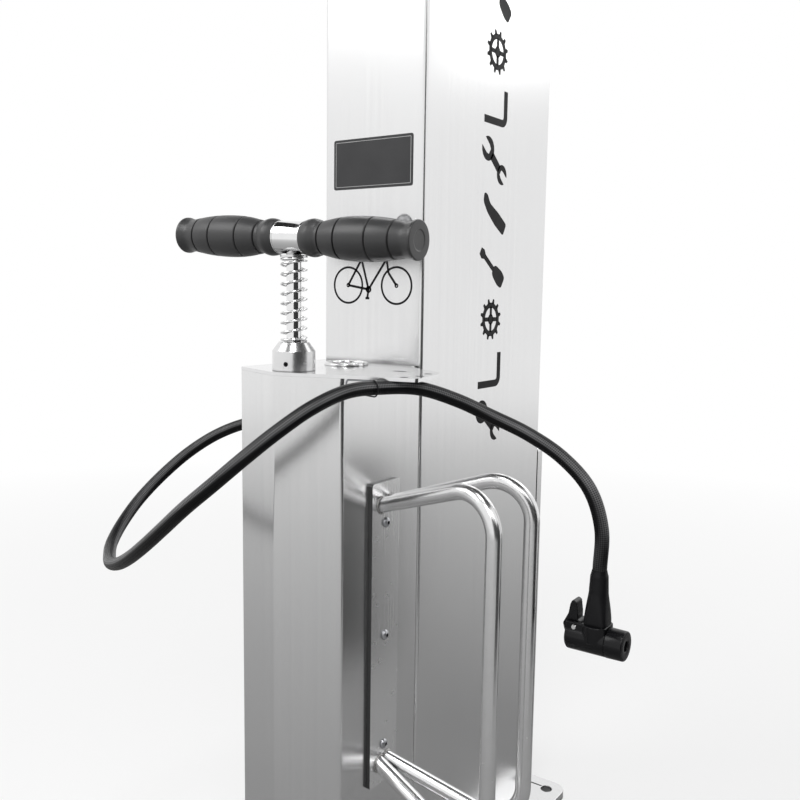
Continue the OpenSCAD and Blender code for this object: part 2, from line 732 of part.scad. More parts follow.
// Socket set screw that locks the cap on the barrel
module cap_set_screw() color(dark_steel) translate([0, pump_y, 0])
    rotate([0, 0, cap_screw_angle]) translate([barrel_d / 2 + seat_gap, 0, cap_screw_z]) facing_px()
    difference() {
        cylinder(h = (cap_d - barrel_d) / 2 - seat_gap - 0.3, d = cap_screw_d);
        translate([0, 0, 0.6]) cylinder(h = cap_d, d = cap_screw_d * 0.5, $fn = 6);
    }

// Flanged bush in the cap that the rod slides and turns in
module rod_bush() color(brass) translate([0, pump_y, 0]) difference() {
    union() {
        translate([0, 0, bush_flange_z])
            cylinder(h = barrel_end_z - bush_flange_z, d = barrel_bore - 2 * running_fit);
        translate([0, 0, bush_flange_z]) cylinder(h = bush_top_z - seat_gap - bush_flange_z, d = bush_d);
    }
    translate([0, 0, bush_flange_z - 1]) cylinder(h = bush_top_z, d = rod_d + 2 * running_fit);
}

// Wiper ring at the mouth of the cap
module rod_wiper() color(rubber) translate([0, pump_y, bush_top_z]) difference() {
    cylinder(h = cap_top_z - bush_top_z - seat_gap, d = wiper_d);
    translate([0, 0, -1]) cylinder(h = cap_top_z, d = rod_d + 4 * running_fit);
}

// Check valve screwed into the side of the foot
module check_valve() color(brass) translate([0, pump_y, valve_z]) facing_py() difference() {
    union() {
        translate([0, 0, foot_d / 2 - valve_seat]) cylinder(h = valve_l + valve_seat, d = valve_d);
        translate([0, 0, foot_d / 2 + 4]) cylinder(h = 10, d = valve_d + 4, $fn = 6);
    }
    translate([0, 0, foot_d / 2 - valve_seat - 1]) cylinder(h = valve_l, d = port_d);
}

// Pipe from the valve up to the hose gland
module outlet_pipe() color(brass) swept_tube(bent_route(
    [[0, pump_y + foot_d / 2 + valve_l, valve_z], [0, gland_y, valve_z], [0, gland_y, gland_z],
     [gland_stub_in - column_x, gland_y, gland_z]], pipe_bend_r, 5), pipe_d, 12);

// Gland that the hose leaves the housing by: a flange, a tapered collar and a threaded stub
module hose_gland() color(plastic) translate([-column_x, gland_y, gland_z]) facing_mx() {
    translate([0, 0, -gland_stub_in]) cylinder(h = gland_stub_in + 1, d = gland_thread_d);
    rotate_extrude() polygon([[0, 0], [11, 0], [11, 4], [10, 5.5], [9.2, 6], [8.4, 12],
        [hose_d / 2 + 1.2, gland_out - 1], [hose_d / 2 + 0.6, gland_out], [0, gland_out]]);
}

module gland_nut() color(dark_steel) translate([-column_x + housing_t, gland_y, gland_z]) facing_px()
    difference() {
        cylinder(h = 6, d = 22, $fn = 6);
        translate([0, 0, -1]) cylinder(h = 8, d = gland_thread_d + 2 * running_fit);
    }

// Wheel holder -------------------------------------------------------------------------

module holder_plate() color(steel) translate([column_x, holder_y, holder_z]) facing_px() difference() {
    linear_extrude(holder_t) round_rect(holder_h, holder_w, 3);
    for (i = [-1:1]) translate([i * holder_bolt_dz, 0, -1])
        cylinder(h = holder_t + 2, d = holder_bolt_d + 2 * bolt_clearance);
}

// One rail: a D-shaped loop in an upright plane that splays to the side
module holder_rail(side) {
    foot_dz = rail_ends_dz / 2;
    corner_dz = foot_dz + rail_corner_dz;
    route = [for (p = [[0, foot_dz], [rail_u, corner_dz], [rail_u, -corner_dz], [0, -foot_dz]])
        [column_x + holder_t + p[0] * cos(rail_splay),
         holder_y + side * (rail_gap / 2 + p[0] * sin(rail_splay)), holder_z + p[1]]];
    lead = unit(route[0] - route[1]) * rail_d;
    difference() {
        swept_tube(bent_route([route[0] + lead, route[1], route[2], route[3] + [lead[0], lead[1], -lead[2]]],
                              rail_bend_r), rail_d, 16);
        // Cut flush with the plate's face and, where the two rails meet, with the middle plane
        translate([column_x + holder_t - rail_reach, holder_y - rail_reach, 0])
            cube([rail_reach, 2 * rail_reach, column_top_z]);
        translate([column_x, side > 0 ? holder_y - rail_reach : holder_y, 0])
            cube([rail_reach, rail_reach, column_top_z]);
    }
}

module holder_rail_front() color(polished) holder_rail(-1);

module holder_rail_rear() color(polished) holder_rail(1);

module holder_bolts() color(polished) for (z = holder_bolt_zs)
    translate([column_x + holder_t, holder_y, z]) facing_px()
        button_bolt(holder_bolt_d, holder_t + housing_t + holder_bolt_d * 0.8 + 2);

module holder_nuts() color(dark_steel) for (z = holder_bolt_zs)
    translate([column_x - housing_t, holder_y, z]) facing_mx() hex_nut(holder_bolt_d);

// Hanger arms --------------------------------------------------------------------------

module hanger_plate() color(steel) translate([column_x, 0, 0]) difference() {
    translate([0, column_mid_y, hanger_z]) facing_px() linear_extrude(hanger_t)
        round_rect(hanger_h, hanger_w, 8);
    for (p = hanger_bolts_at) translate([-1, p[0], p[1]]) facing_px()
        cylinder(h = hanger_t + 2, d = hanger_bolt_d + 2 * bolt_clearance);
}

// Both arms, welded to the plate
module hanger_arms() color(polished) for (y = [-1, 1])
    translate([arm_x0, column_mid_y + y * arm_gap / 2, hanger_z]) facing_px() cylinder(h = arm_l, d = arm_d);

// Rubber sleeves over the arms' outer ends
module arm_sleeves() color(rubber) for (y = [-1, 1])
    translate([arm_x0 + arm_l - sleeve_l, column_mid_y + y * arm_gap / 2, hanger_z]) facing_px()
    rotate_extrude() polygon(concat(
        [[arm_d / 2 + running_fit, 0], [sleeve_d / 2 - 1.5, 0], [sleeve_d / 2, 1.5]],
        [for (k = [1:sleeve_rings]) for (g = [[-1.5, 0], [0, -1], [1.5, 0]])
            [sleeve_d / 2 + g[1], k * sleeve_l / (sleeve_rings + 1) + g[0]]],
        [[sleeve_d / 2, sleeve_l], [arm_d / 2 + running_fit, sleeve_l]]));

// Domed caps that keep the sleeves on
module arm_end_caps() color(plastic) for (y = [-1, 1])
    translate([arm_x0 + arm_l, column_mid_y + y * arm_gap / 2, hanger_z]) facing_px()
    rotate_extrude() polygon(concat([[0, 0], [sleeve_d / 2 + 2, 0]],
        [for (a = [0:15:75]) [(sleeve_d / 2 + 2) * cos(a), 3 + 7 * sin(a)]], [[0, 10]]));

module hanger_bolts() color(polished) for (p = hanger_bolts_at)
    translate([column_x + hanger_t, p[0], p[1]]) facing_px()
        button_bolt(hanger_bolt_d, hanger_t + column_t + hanger_bolt_d * 0.8 + 2);

module hanger_nuts() color(dark_steel) for (p = hanger_bolts_at)
    translate([column_x - column_t, p[0], p[1]]) facing_mx() hex_nut(hanger_bolt_d);

// Rear cover ---------------------------------------------------------------------------

module cover_plan(inset) translate([0, cover_z + cover_h / 2])
    round_rect(cover_w - 2 * inset, cover_h - 2 * inset, max(6 - inset, 1));

module rear_cover() color(steel) translate([0, cover_y0, 0]) difference() {
    translate([0, cover_depth, 0]) facing_my() linear_extrude(cover_depth) cover_plan(0);
    translate([0, cover_depth - cover_sheet, 0]) facing_my() linear_extrude(cover_depth) difference() {
        cover_plan(cover_sheet);
        for (p = cover_screws_at) translate(p) circle(d = cover_boss_d);
    }
    for (p = cover_screws_at) translate([p[0], -1, p[1]]) facing_py()
        cylinder(h = cover_depth + 2, d = cover_screw_d + 2 * running_fit);
}

module rear_gasket() color(rubber) translate([0, cover_y0, 0]) difference() {
    facing_my() linear_extrude(gasket_t) difference() {
        cover_plan(1.5);
        cover_plan(gasket_rim + 1.5);
    }
    for (p = cover_screws_at) translate([p[0], -gasket_t - 1, p[1]]) facing_py()
        cylinder(h = gasket_t + 2, d = cover_screw_d + 2 * running_fit);
}

module cover_screws() color(polished) for (p = cover_screws_at)
    translate([p[0], cover_y0 + cover_depth, p[1]]) facing_py()
        button_bolt(cover_screw_d, cover_depth + gasket_t + column_t + 3);

// Spring and piston --------------------------------------------------------------------

// Height of the wire's centre after t turns, with one closed turn at each end
function coil_z(t) =
    let (closed = spring_wire + 0.1,
         free = spring_l - spring_wire - 2 * closed)
    t < 1 ? t * closed
    : t > spring_turns + 1 ? closed + free + (t - spring_turns - 1) * closed
    : closed + (t - 1) / spring_turns * free;

module spring() color(polished) {
    per_turn = 16;
    sides = 8;
    coil_r = (spring_d - spring_wire) / 2;
    rings = round((spring_turns + 2) * per_turn);
    points = [for (i = [0:rings]) for (j = [0:sides - 1])
        let (t = i / per_turn,
             r = coil_r + spring_wire / 2 * cos(j * 360 / sides),
             z = coil_z(t) + spring_wire / 2 * (1 + sin(j * 360 / sides)))
        [r * cos(t * 360), r * sin(t * 360), z]];
    translate([0, pump_y, cap_top_z]) tube_mesh(points, rings + 1, sides);
}

module spring_washer() color(steel) translate([0, pump_y, spring_top_z]) difference() {
    cylinder(h = washer_t, d = spring_d);
    translate([0, 0, -1]) cylinder(h = washer_t + 2, d = rod_d + 2 * running_fit);
}

module piston() color(steel) translate([0, pump_y, piston_z]) difference() {
    rotate_extrude() polygon([[0, 0], [piston_d / 2 - 1, 0], [piston_d / 2, 1],
        [piston_d / 2, seal_z], [seal_in_d / 2, seal_z], [seal_in_d / 2, seal_z + seal_h],
        [piston_d / 2, seal_z + seal_h], [piston_d / 2, piston_h - 1],
        [piston_d / 2 - 1, piston_h], [0, piston_h]]);
    translate([0, 0, -1]) cylinder(h = piston_h + 2, d = rod_foot_d + 2 * running_fit);
}

module piston_seal() color(rubber) translate([0, pump_y, piston_z + seal_z + seat_gap / 2]) difference() {
    cylinder(h = seal_h - seat_gap, d = barrel_bore - 2 * running_fit);
    translate([0, 0, -1]) cylinder(h = seal_h + 2, d = seal_in_d + 2 * running_fit);
}

module piston_nut() color(dark_steel) translate([0, pump_y, rod_foot_z]) difference() {
    cylinder(h = piston_nut_h - seat_gap, d = 20, $fn = 6);
    translate([0, 0, -1]) cylinder(h = piston_nut_h + 2, d = rod_foot_d + 2 * running_fit);
}

module piston_rod() color(polished) translate([0, pump_y, 0]) {
    translate([0, 0, rod_foot_z]) cylinder(h = rod_shoulder_z - rod_foot_z + 1, d = rod_foot_d);
    translate([0, 0, rod_shoulder_z]) cylinder(h = rod_neck_z - rod_shoulder_z, d = rod_d);
    translate([0, 0, rod_neck_z - 1]) cylinder(h = handle_z + core_d / 2 - 2 - rod_neck_z, d = rod_top_d);
}

// Handle -------------------------------------------------------------------------------

// Children built along X at the handle's centre, drooping to +X and turned about the rod
module at_handle() translate([0, pump_y, handle_z]) rotate([0, handle_tilt, handle_yaw]) children();

// Bores in the hub and the bar for the rod's stepped end
module rod_end_bores() translate([0, pump_y, 0]) {
    translate([0, 0, handle_z - hub_d])
        cylinder(h = rod_neck_z - handle_z + hub_d + seat_gap, d = rod_d + 2 * running_fit);
    translate([0, 0, handle_z - hub_d])
        cylinder(h = hub_d + core_d / 2 - 2, d = rod_top_d + 2 * running_fit);
}

module handle_hub() color(polished) difference() {
    at_handle() facing_px() rotate_extrude() polygon([
        [core_d / 2 + running_fit, -hub_l / 2], [hub_d / 2 - 0.8, -hub_l / 2], [hub_d / 2, -hub_l / 2 + 0.8],
        [hub_d / 2, hub_l / 2 - 0.8], [hub_d / 2 - 0.8, hub_l / 2], [core_d / 2 + running_fit, hub_l / 2]]);
    rod_end_bores();
    at_handle() facing_py() cylinder(h = hub_d, d = hub_screw_d + 2 * running_fit);
}

module handle_core() color(dark_steel) difference() {
    at_handle() translate([-handle_l / 2 + grip_wall, 0, 0]) facing_px()
        cylinder(h = handle_l - 2 * grip_wall, d = core_d);
    rod_end_bores();
}

// Grip radius at distance s from its inner end, between the flanges
function grip_r(s) =
    let (t = (s - grip_flange_w) / (grip_l - 2 * grip_flange_w))
    grip_neck_d / 2 + (grip_d - grip_neck_d) / 2 * sin(180 * pow(t, 0.85));

// One grip along +Z from the hub's end: two flanges, a swelling body and four grooves
module grip() difference() {
    rotate_extrude() polygon(concat(
        [[0, 0], [grip_flange_d / 2 - 1, 0], [grip_flange_d / 2, 1],
         [grip_flange_d / 2, grip_flange_w - 1.5], [grip_neck_d / 2, grip_flange_w]],
        [for (k = [1:grip_steps - 1]) let (s = grip_flange_w + k * (grip_l - 2 * grip_flange_w) / grip_steps)
            [grip_r(s), s]],
        [[grip_neck_d / 2, grip_l - grip_flange_w], [grip_flange_d / 2, grip_l - grip_flange_w + 1.5],
         [grip_flange_d / 2, grip_l - 2], [grip_flange_d / 2 - 2, grip_l], [0, grip_l]]));
    translate([0, 0, -1]) cylinder(h = grip_l - grip_wall + 1 + seat_gap, d = core_d + 2 * running_fit);
    for (f = grip_grooves) let (s = f * grip_l)
        rotate_extrude() translate([grip_r(s) - grip_groove_depth, s]) square([grip_d, grip_groove_w]);
}

module grip_left() color(rubber) at_handle() translate([-hub_l / 2, 0, 0]) facing_mx() grip();

module grip_right() color(rubber) at_handle() translate([hub_l / 2, 0, 0]) facing_px() grip();

module hub_set_screw() color(dark_steel) at_handle() translate([0, core_d / 2 + seat_gap, 0]) facing_py()
    difference() {
        cylinder(h = (hub_d - core_d) / 2 - seat_gap, d = hub_screw_d);
        translate([0, 0, 1.5]) cylinder(h = hub_d, d = hub_screw_d * 0.5, $fn = 6);
    }

// Hose and pump head -------------------------------------------------------------------

module hose() color(hose_black) swept_tube(hose_route, hose_d, hose_sides);

// Neck: a sleeve on the hose that widens to the head
module head_neck() color(plastic) translate(head_at) rotate_extrude() polygon([
    [0, neck_z0], [11, neck_z0], [10.8, neck_z0 + 4], [8.6, neck_z0 + 18], [7.8, neck_z0 + 26],
    [hose_d / 2 + 1.6, neck_z0 + neck_l - 4], [hose_d / 2 + 1, neck_z0 + neck_l - 1],
    [hose_d / 2 + 0.4, neck_z0 + neck_l], [0, neck_z0 + neck_l]]);

// Body: a cylinder along X with a boss for the neck and a yoke for the lever
module head_body() color(plastic) translate(head_at) difference() {
    union() {
        translate([head_back, 0, 0]) facing_px() rotate_extrude() polygon([[0, 0], [head_d / 2 - 1.5, 0],
            [head_d / 2, 1.5], [head_d / 2, head_l], [0, head_l]]);
        intersection() {
            cylinder(h = neck_z0, d = boss_d);
            translate([-boss_d, -boss_d, 0]) cube([boss_d + collar_x0, 2 * boss_d, neck_z0]);
        }
        translate([head_back + 1, -yoke_w / 2, 0]) cube([-head_back - 7, yoke_w, neck_z0]);
        facing_px() cylinder(h = collar_x0 + spigot_l, d = spigot_d);
    }
    translate([lever_pin_at[0], 0, lever_pin_at[1]]) facing_py() {
        translate([0, 0, -lever_slot_w / 2]) cylinder(h = lever_slot_w, r = cam_r + 0.5);
        translate([0, 0, -head_d]) cylinder(h = 2 * head_d, d = lever_pin_d + 2 * running_fit);
    }
    translate([lever_pin_at[0], lever_slot_w / 2, lever_pin_at[1]]) rotate([90, 0, 0])
        linear_extrude(lever_slot_w) polygon(concat([[0, 0]],
            [for (a = [145:10:325]) (cam_back_r + 0.6) * [cos(a), sin(a)]]));
    translate([head_back - 2, -lever_slot_w / 2, lever_pin_at[1]])
        cube([lever_pin_at[0] - head_back + 2 + cam_r + 0.5, lever_slot_w, neck_z0]);
    translate([seal_x0 - 8, 0, 0]) facing_px() cylinder(h = 20, d = seal_bore);
}

// Collar that clamps the rubber seal on the body
module head_collar() color(plastic) translate(head_at + [collar_x0 + seat_gap, 0, 0]) facing_px()
    difference() {
        rotate_extrude() polygon([[0, 0], [head_d / 2 + 0.2, 0], [head_d / 2 + 0.2, collar_l - 1],
            [head_d / 2 - 0.8, collar_l], [0, collar_l]]);
        translate([0, 0, -1]) cylinder(h = collar_l - collar_wall + 1, d = spigot_d + 2 * running_fit);
        translate([0, 0, -1]) cylinder(h = collar_l + 2, d = seal_bore + 1);
    }

// Rubber seal that grips the valve
module valve_seal() color(rubber) translate(head_at + [seal_x0 + seat_gap, 0, 0]) facing_px() difference() {
    cylinder(h = seal_l, d = spigot_d - 0.4);
    translate([0, 0, -1]) cylinder(h = seal_l + 2, d = seal_bore);
}

// Lever: a cam on the pin, a rounded back and a finger along the neck
module head_lever() color(plastic) translate(head_at + [lever_pin_at[0], lever_w / 2, lever_pin_at[1]])
    rotate([90, 0, 0]) difference() {
        linear_extrude(lever_w) union() {
            circle(r = cam_r);
            polygon(rounded([[1.2, 2], [1.4, 10], [0, 20], [-3.6, 22.4], [-5.6, 18], [-7, 9.5],
                [-cam_back_r + 0.5, 0], [-cam_back_r + 2.4, -6.4], [-5, -6.6]],
                [0, 3, 1.6, 2, 4, 3, 2, 1, 0]));
        }
        translate([0, 0, -1]) cylinder(h = lever_w + 2, d = lever_pin_d + 2 * running_fit);
    }

module lever_pin() color(polished) translate(head_at + [lever_pin_at[0], 0, lever_pin_at[1]]) facing_my()
    translate([0, 0, -yoke_w / 2]) {
        cylinder(h = yoke_w, d = lever_pin_d);
        translate([0, 0, yoke_w]) cylinder(h = 0.8, d1 = lever_pin_d + 1.6, d2 = lever_pin_d + 0.6);
    }

base_plate();
column();
column_cap();
pump_housing();
housing_bolts();
housing_nuts();
housing_lid();
lid_ring();
hose_hook();
hose_strap();
pump_barrel();
barrel_foot();
barrel_bracket();
barrel_cap();
cap_set_screw();
rod_bush();
rod_wiper();
check_valve();
outlet_pipe();
hose_gland();
gland_nut();
holder_plate();
holder_rail_front();
holder_rail_rear();
holder_bolts();
holder_nuts();
dome_plug();
hanger_plate();
hanger_arms();
arm_sleeves();
arm_end_caps();
hanger_bolts();
hanger_nuts();
rear_cover();
rear_gasket();
cover_screws();
spring();
spring_washer();
piston();
piston_seal();
piston_nut();
piston_rod();
handle_hub();
handle_core();
grip_left();
grip_right();
hub_set_screw();
hose();
head_neck();
head_body();
head_collar();
valve_seal();
head_lever();
lever_pin();
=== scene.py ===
"""Bicycle repair station: finishes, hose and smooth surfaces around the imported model.

Everything is in metres in the station's own frame: the origin is the centre of the
anchor pattern on the ground, +Z is up, the pump stands at the -Y end and the wheel
holder faces +X.
"""

import json
import logging
import math
from collections.abc import Sequence
from dataclasses import dataclass, field
from enum import Enum

import bmesh
import bpy
import numpy as np
from mathutils import Matrix

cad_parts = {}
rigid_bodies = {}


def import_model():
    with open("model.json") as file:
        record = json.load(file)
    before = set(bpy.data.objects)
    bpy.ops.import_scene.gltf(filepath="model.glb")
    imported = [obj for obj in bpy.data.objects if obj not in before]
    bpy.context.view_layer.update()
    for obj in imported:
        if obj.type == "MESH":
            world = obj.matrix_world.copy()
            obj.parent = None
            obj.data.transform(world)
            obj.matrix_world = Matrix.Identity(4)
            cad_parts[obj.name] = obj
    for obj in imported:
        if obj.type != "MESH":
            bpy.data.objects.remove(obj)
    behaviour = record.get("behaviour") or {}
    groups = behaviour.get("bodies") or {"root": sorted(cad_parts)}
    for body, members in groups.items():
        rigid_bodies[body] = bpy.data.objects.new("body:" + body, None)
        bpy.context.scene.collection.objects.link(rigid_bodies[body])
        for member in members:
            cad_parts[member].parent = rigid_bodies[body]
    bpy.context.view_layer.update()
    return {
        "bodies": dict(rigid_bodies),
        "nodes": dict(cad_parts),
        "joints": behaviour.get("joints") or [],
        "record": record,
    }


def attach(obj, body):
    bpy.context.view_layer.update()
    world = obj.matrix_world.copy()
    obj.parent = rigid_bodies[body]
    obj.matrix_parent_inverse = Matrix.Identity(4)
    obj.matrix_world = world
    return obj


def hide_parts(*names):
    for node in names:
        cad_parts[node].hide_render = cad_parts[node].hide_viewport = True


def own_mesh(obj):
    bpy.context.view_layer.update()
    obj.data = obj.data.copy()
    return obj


LOG = logging.getLogger("repair_station")
MM = 0.001
TAU = 2 * math.pi
UP = np.array([0.0, 0.0, 1.0])
ORIGIN = (0.0, 0.0, 0.0)
Pair = tuple[float, float]
Triple = tuple[float, float, float]
Rgb = Triple
Array = np.ndarray


class Body(str, Enum):
    """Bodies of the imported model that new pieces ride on."""

    STATION = "station"
    HANDLE = "handle"
    THUMB_LEVER = "thumb_lever"


class Slot(str, Enum):
    """The record's material slots, given with each new piece."""

    POLISHED_STEEL = "polished_steel"
    GRIP_RUBBER = "grip_rubber"
    SEAL_RUBBER = "seal_rubber"
    HOSE_RUBBER = "hose_rubber"
    NECK_RUBBER = "neck_rubber"
    BLACK_PLASTIC = "black_plastic"


# ---------------------------------------------------------------- surfaces in numpy


def unit(v: Array) -> Array:
    """Vectors scaled to length one along the last axis."""
    return v / np.linalg.norm(v, axis=-1, keepdims=True)


def through(points: Array, per_span: int) -> Array:
    """A smooth curve through points.

    Centripetal Catmull-Rom: on each span the curve is a cubic whose knots are spaced
    by the square root of the chord, so that it neither loops nor overshoots.

    Args:
        points: Points to pass through, one row each.
        per_span: Steps on each span between two points.

    Returns:
        The curve's points, the first and last given points included.
    """
    p = np.vstack([2 * points[0] - points[1], points, 2 * points[-1] - points[-2]])
    knots = np.concatenate([[0], np.cumsum(np.linalg.norm(np.diff(p, axis=0), axis=1) ** 0.5)])
    t0, t1, t2, t3 = (knots[k:len(knots) - 3 + k, None, None] for k in range(4))
    p0, p1, p2, p3 = (p[k:len(p) - 3 + k, None, :] for k in range(4))
    t = t1 + (t2 - t1) * np.linspace(0, 1, per_span, endpoint=False)[None, :, None]
    a1 = (t1 - t) / (t1 - t0) * p0 + (t - t0) / (t1 - t0) * p1
    a2 = (t2 - t) / (t2 - t1) * p1 + (t - t1) / (t2 - t1) * p2
    a3 = (t3 - t) / (t3 - t2) * p2 + (t - t2) / (t3 - t2) * p3
    b1 = (t2 - t) / (t2 - t0) * a1 + (t - t0) / (t2 - t0) * a2
    b2 = (t3 - t) / (t3 - t1) * a2 + (t - t1) / (t3 - t1) * a3
    curve = (t2 - t) / (t2 - t1) * b1 + (t - t1) / (t2 - t1) * b2
    return np.vstack([curve.reshape(-1, 3), points[-1]])


def bent(points: Sequence[Array], radius: float, steps: int) -> Array:
    """Straight runs whose corners are arcs of one radius.

    Args:
        points: Corners of the route.
        radius: Radius of each bend's centre line.
        steps: Steps along each bend.

    Returns:
        The route's points.
    """
    parts = [np.array(points[0])[None]]
    for before, corner, after in zip(points, points[1:], points[2:]):
        d0 = unit(np.array(corner) - before)
        d1 = unit(np.array(after) - corner)
        turn = math.acos(float(d0 @ d1))
        inward = unit(d1 - d0 * (d0 @ d1))
        centre = corner - d0 * radius * math.tan(turn / 2) + inward * radius
        a = np.linspace(0, turn, steps + 1)[:, None]
        parts.append(centre + radius * (d0 * np.sin(a) - inward * np.cos(a)))
    parts.append(np.array(points[-1])[None])
    return np.vstack(parts)


def arc_lengths(path: Array) -> Array:
    """Distance along a path at each of its points."""
    return np.concatenate([[0], np.cumsum(np.linalg.norm(np.diff(path, axis=0), axis=1))])


def carried_frames(path: Array) -> tuple[Array, Array]:
    """Vectors across a path, carried along it without twist.

    Each is the one before less its part along the path, scaled to length one.

    Args:
        path: The path's points.

    Returns:
        Two vectors at each point, square to the path and to each other.
    """
    along = unit(np.gradient(path, axis=0))
    start = np.cross(along[0], [0, 1, 0] if abs(along[0][1]) < 0.9 else [1, 0, 0])
    side = [start / np.linalg.norm(start)]
    for d in along[1:]:
        n = side[-1] - d * (d @ side[-1])
        side.append(n / np.linalg.norm(n))
    across = np.array(side)
    return across, np.cross(along, across)


def tube_grid(path: Array, radius: Array | float, sides: int) -> Array:
    """Rings of points round a path.

    A point is the path's point plus radius times the cosine of its angle on one side
    vector and the sine on the other.

    Args:
        path: Centre line.
        radius: One radius, or one for each point of the path.
        sides: Points in a ring.

    Returns:
        Grid of points, path length by sides by 3.
    """
    u, v = carried_frames(path)
    a = np.linspace(0, TAU, sides, endpoint=False)
    r = np.broadcast_to(np.asarray(radius, float), len(path))[:, None, None]
    return path[:, None] + r * (u[:, None] * np.cos(a)[None, :, None] + v[:, None] * np.sin(a)[None, :, None])


def turned_grid(profile: Array, origin: Array, axis: Array, sides: int) -> Array:
    """A profile turned about an axis.

    A point is the origin plus its height along the axis plus its radius on the circle.

    Args:
        profile: Rows of height along the axis and radius.
        origin: Point on the axis where the height is 0.
        axis: Direction of the axis.
        sides: Points round the axis.

    Returns:
        Grid of points, profile length by sides by 3.
    """
    z = unit(np.asarray(axis, float))
    x = unit(np.cross(z, [0, 1, 0] if abs(z[1]) < 0.9 else [1, 0, 0]))
    a = np.linspace(0, TAU, sides, endpoint=False)[None, :, None]
    ring = x * np.cos(a) + np.cross(z, x) * np.sin(a)
    return np.asarray(origin) + profile[:, 0, None, None] * z + profile[:, 1, None, None] * ring


def rounded(outline: Array, radii: Sequence[float] | float, steps: int = 4, closed: bool = False) -> Array:
    """An outline with its corners rounded.

    Each corner is replaced by the quadratic curve that leaves one side and enters the
    next at the corner's radius from it, or at 45% of the shorter side.

    Args:
        outline: Corner points, two numbers a row.
        radii: One distance, or one for each corner.
        steps: Steps along each rounding.
        closed: Whether the last point joins the first.

    Returns:
        The rounded outline's points.
    """
    n = len(outline)
    r = np.broadcast_to(np.asarray(radii, float), n)
    parts = []
    for i, corner in enumerate(outline):
        if r[i] <= 0 or (not closed and i in (0, n - 1)):
            parts.append(corner[None])
            continue
        before, after = outline[i - 1], outline[(i + 1) % n]
        reach = min(r[i], 0.45 * np.linalg.norm(before - corner), 0.45 * np.linalg.norm(after - corner))
        p = corner + unit(before - corner) * reach
        q = corner + unit(after - corner) * reach
        t = np.linspace(0, 1, steps + 1)[:, None]
        parts.append((1 - t) ** 2 * p + 2 * t * (1 - t) * corner + t ** 2 * q)
    return np.vstack(parts)


# ------------------------------------------------------------------ meshes in Blender


def linked(name: str, data: bpy.types.ID) -> bpy.types.Object:
    """A new object at the origin in the scene's collection.

    Args:
        name: Name of the object.
        data: Its mesh, camera or lamp.

    Returns:
        The object.
    """
    made = bpy.data.objects.new(name, data)
    bpy.context.scene.collection.objects.link(made)
    return made


def finished(mesh: bpy.types.Mesh, crisp_deg: float) -> bpy.types.Mesh:
    """Merges doubles, points the faces outwards and shades smooth up to an angle.

    Args:
        mesh: The mesh, which is changed.
        crisp_deg: Edges sharper than this stay crisp.

    Returns:
        The mesh.
    """
    work = bmesh.new()
    work.from_mesh(mesh)
    bmesh.ops.remove_doubles(work, verts=work.verts, dist=1e-6)
    bmesh.ops.dissolve_degenerate(work, edges=work.edges, dist=1e-7)
    bmesh.ops.recalc_face_normals(work, faces=work.faces)
    work.to_mesh(mesh)
    work.free()
    mesh.shade_smooth()
    mesh.set_sharp_from_angle(angle=math.radians(crisp_deg))
    return mesh


def skin(
    name: str, grid: Array, crisp_deg: float = 40, lengths: Array | None = None, looped: bool = False,
) -> bpy.types.Object:
    """A closed object from a grid of rings.

    Neighbouring points of neighbouring rings join as quads and each ring closes on itself.
    The first and last ring are capped, or joined to each other in a loop.

    Args:
        name: Name of the piece.
        grid: Rings by sides by 3.
        crisp_deg: Edges sharper than this stay crisp.
        lengths: Distance along the piece for the first UV coordinate; the second runs
            from 0 to 1 round each ring.
        looped: Whether the last ring joins the first.

    Returns:
        The object.
    """
    rings, sides = grid.shape[:2]
    i, j = np.meshgrid(np.arange(rings if looped else rings - 1), np.arange(sides), indexing="ij")
    k = (j + 1) % sides
    n = (i + 1) % rings
    quads = np.stack([i * sides + j, i * sides + k, n * sides + k, n * sides + j], -1).reshape(-1, 4)
    caps = [] if looped else [list(range(sides))[::-1], list(range((rings - 1) * sides, rings * sides))]
    mesh = bpy.data.meshes.new(name)
    mesh.from_pydata(grid.reshape(-1, 3).tolist(), [], quads.tolist() + caps)
    if lengths is not None:
        row = np.stack([i, i, i + 1, i + 1], -1).reshape(-1)
        col = np.stack([j, j + 1, j + 1, j], -1).reshape(-1)
        flat = np.concatenate([np.stack([lengths[row], col / sides], -1), np.zeros((2 * sides, 2))])
        mesh.uv_layers.new(name="along").data.foreach_set("uv", flat.ravel())
    return linked(name, finished(mesh, crisp_deg))


def prisms(name: str, outlines: Sequence[Array], place: "Plane", thickness: float) -> bpy.types.Object:
    """Thin flat shapes laid on a plane: each outline is a closed prism of that thickness.

    Args:
        name: Name of the piece.
        outlines: Outlines in the plane's own two directions.
        place: The plane.
        thickness: How far the shapes stand out.

    Returns:
        The object.
    """
    verts: list[Array] = []
    faces: list[list[int]] = []
    for outline in outlines:
        base = sum(len(v) for v in verts)
        n = len(outline)
        low = place.points(outline, 0.0)
        verts += [low, low + place.normal * thickness]
        k = np.arange(n)
        sides = np.stack([base + k, base + (k + 1) % n, base + n + (k + 1) % n, base + n + k], -1)
        faces += [(base + k[::-1]).tolist(), (base + n + k).tolist(), *sides.tolist()]
    mesh = bpy.data.meshes.new(name)
    mesh.from_pydata(np.vstack(verts).tolist(), [], faces)
    return linked(name, finished(mesh, 30))


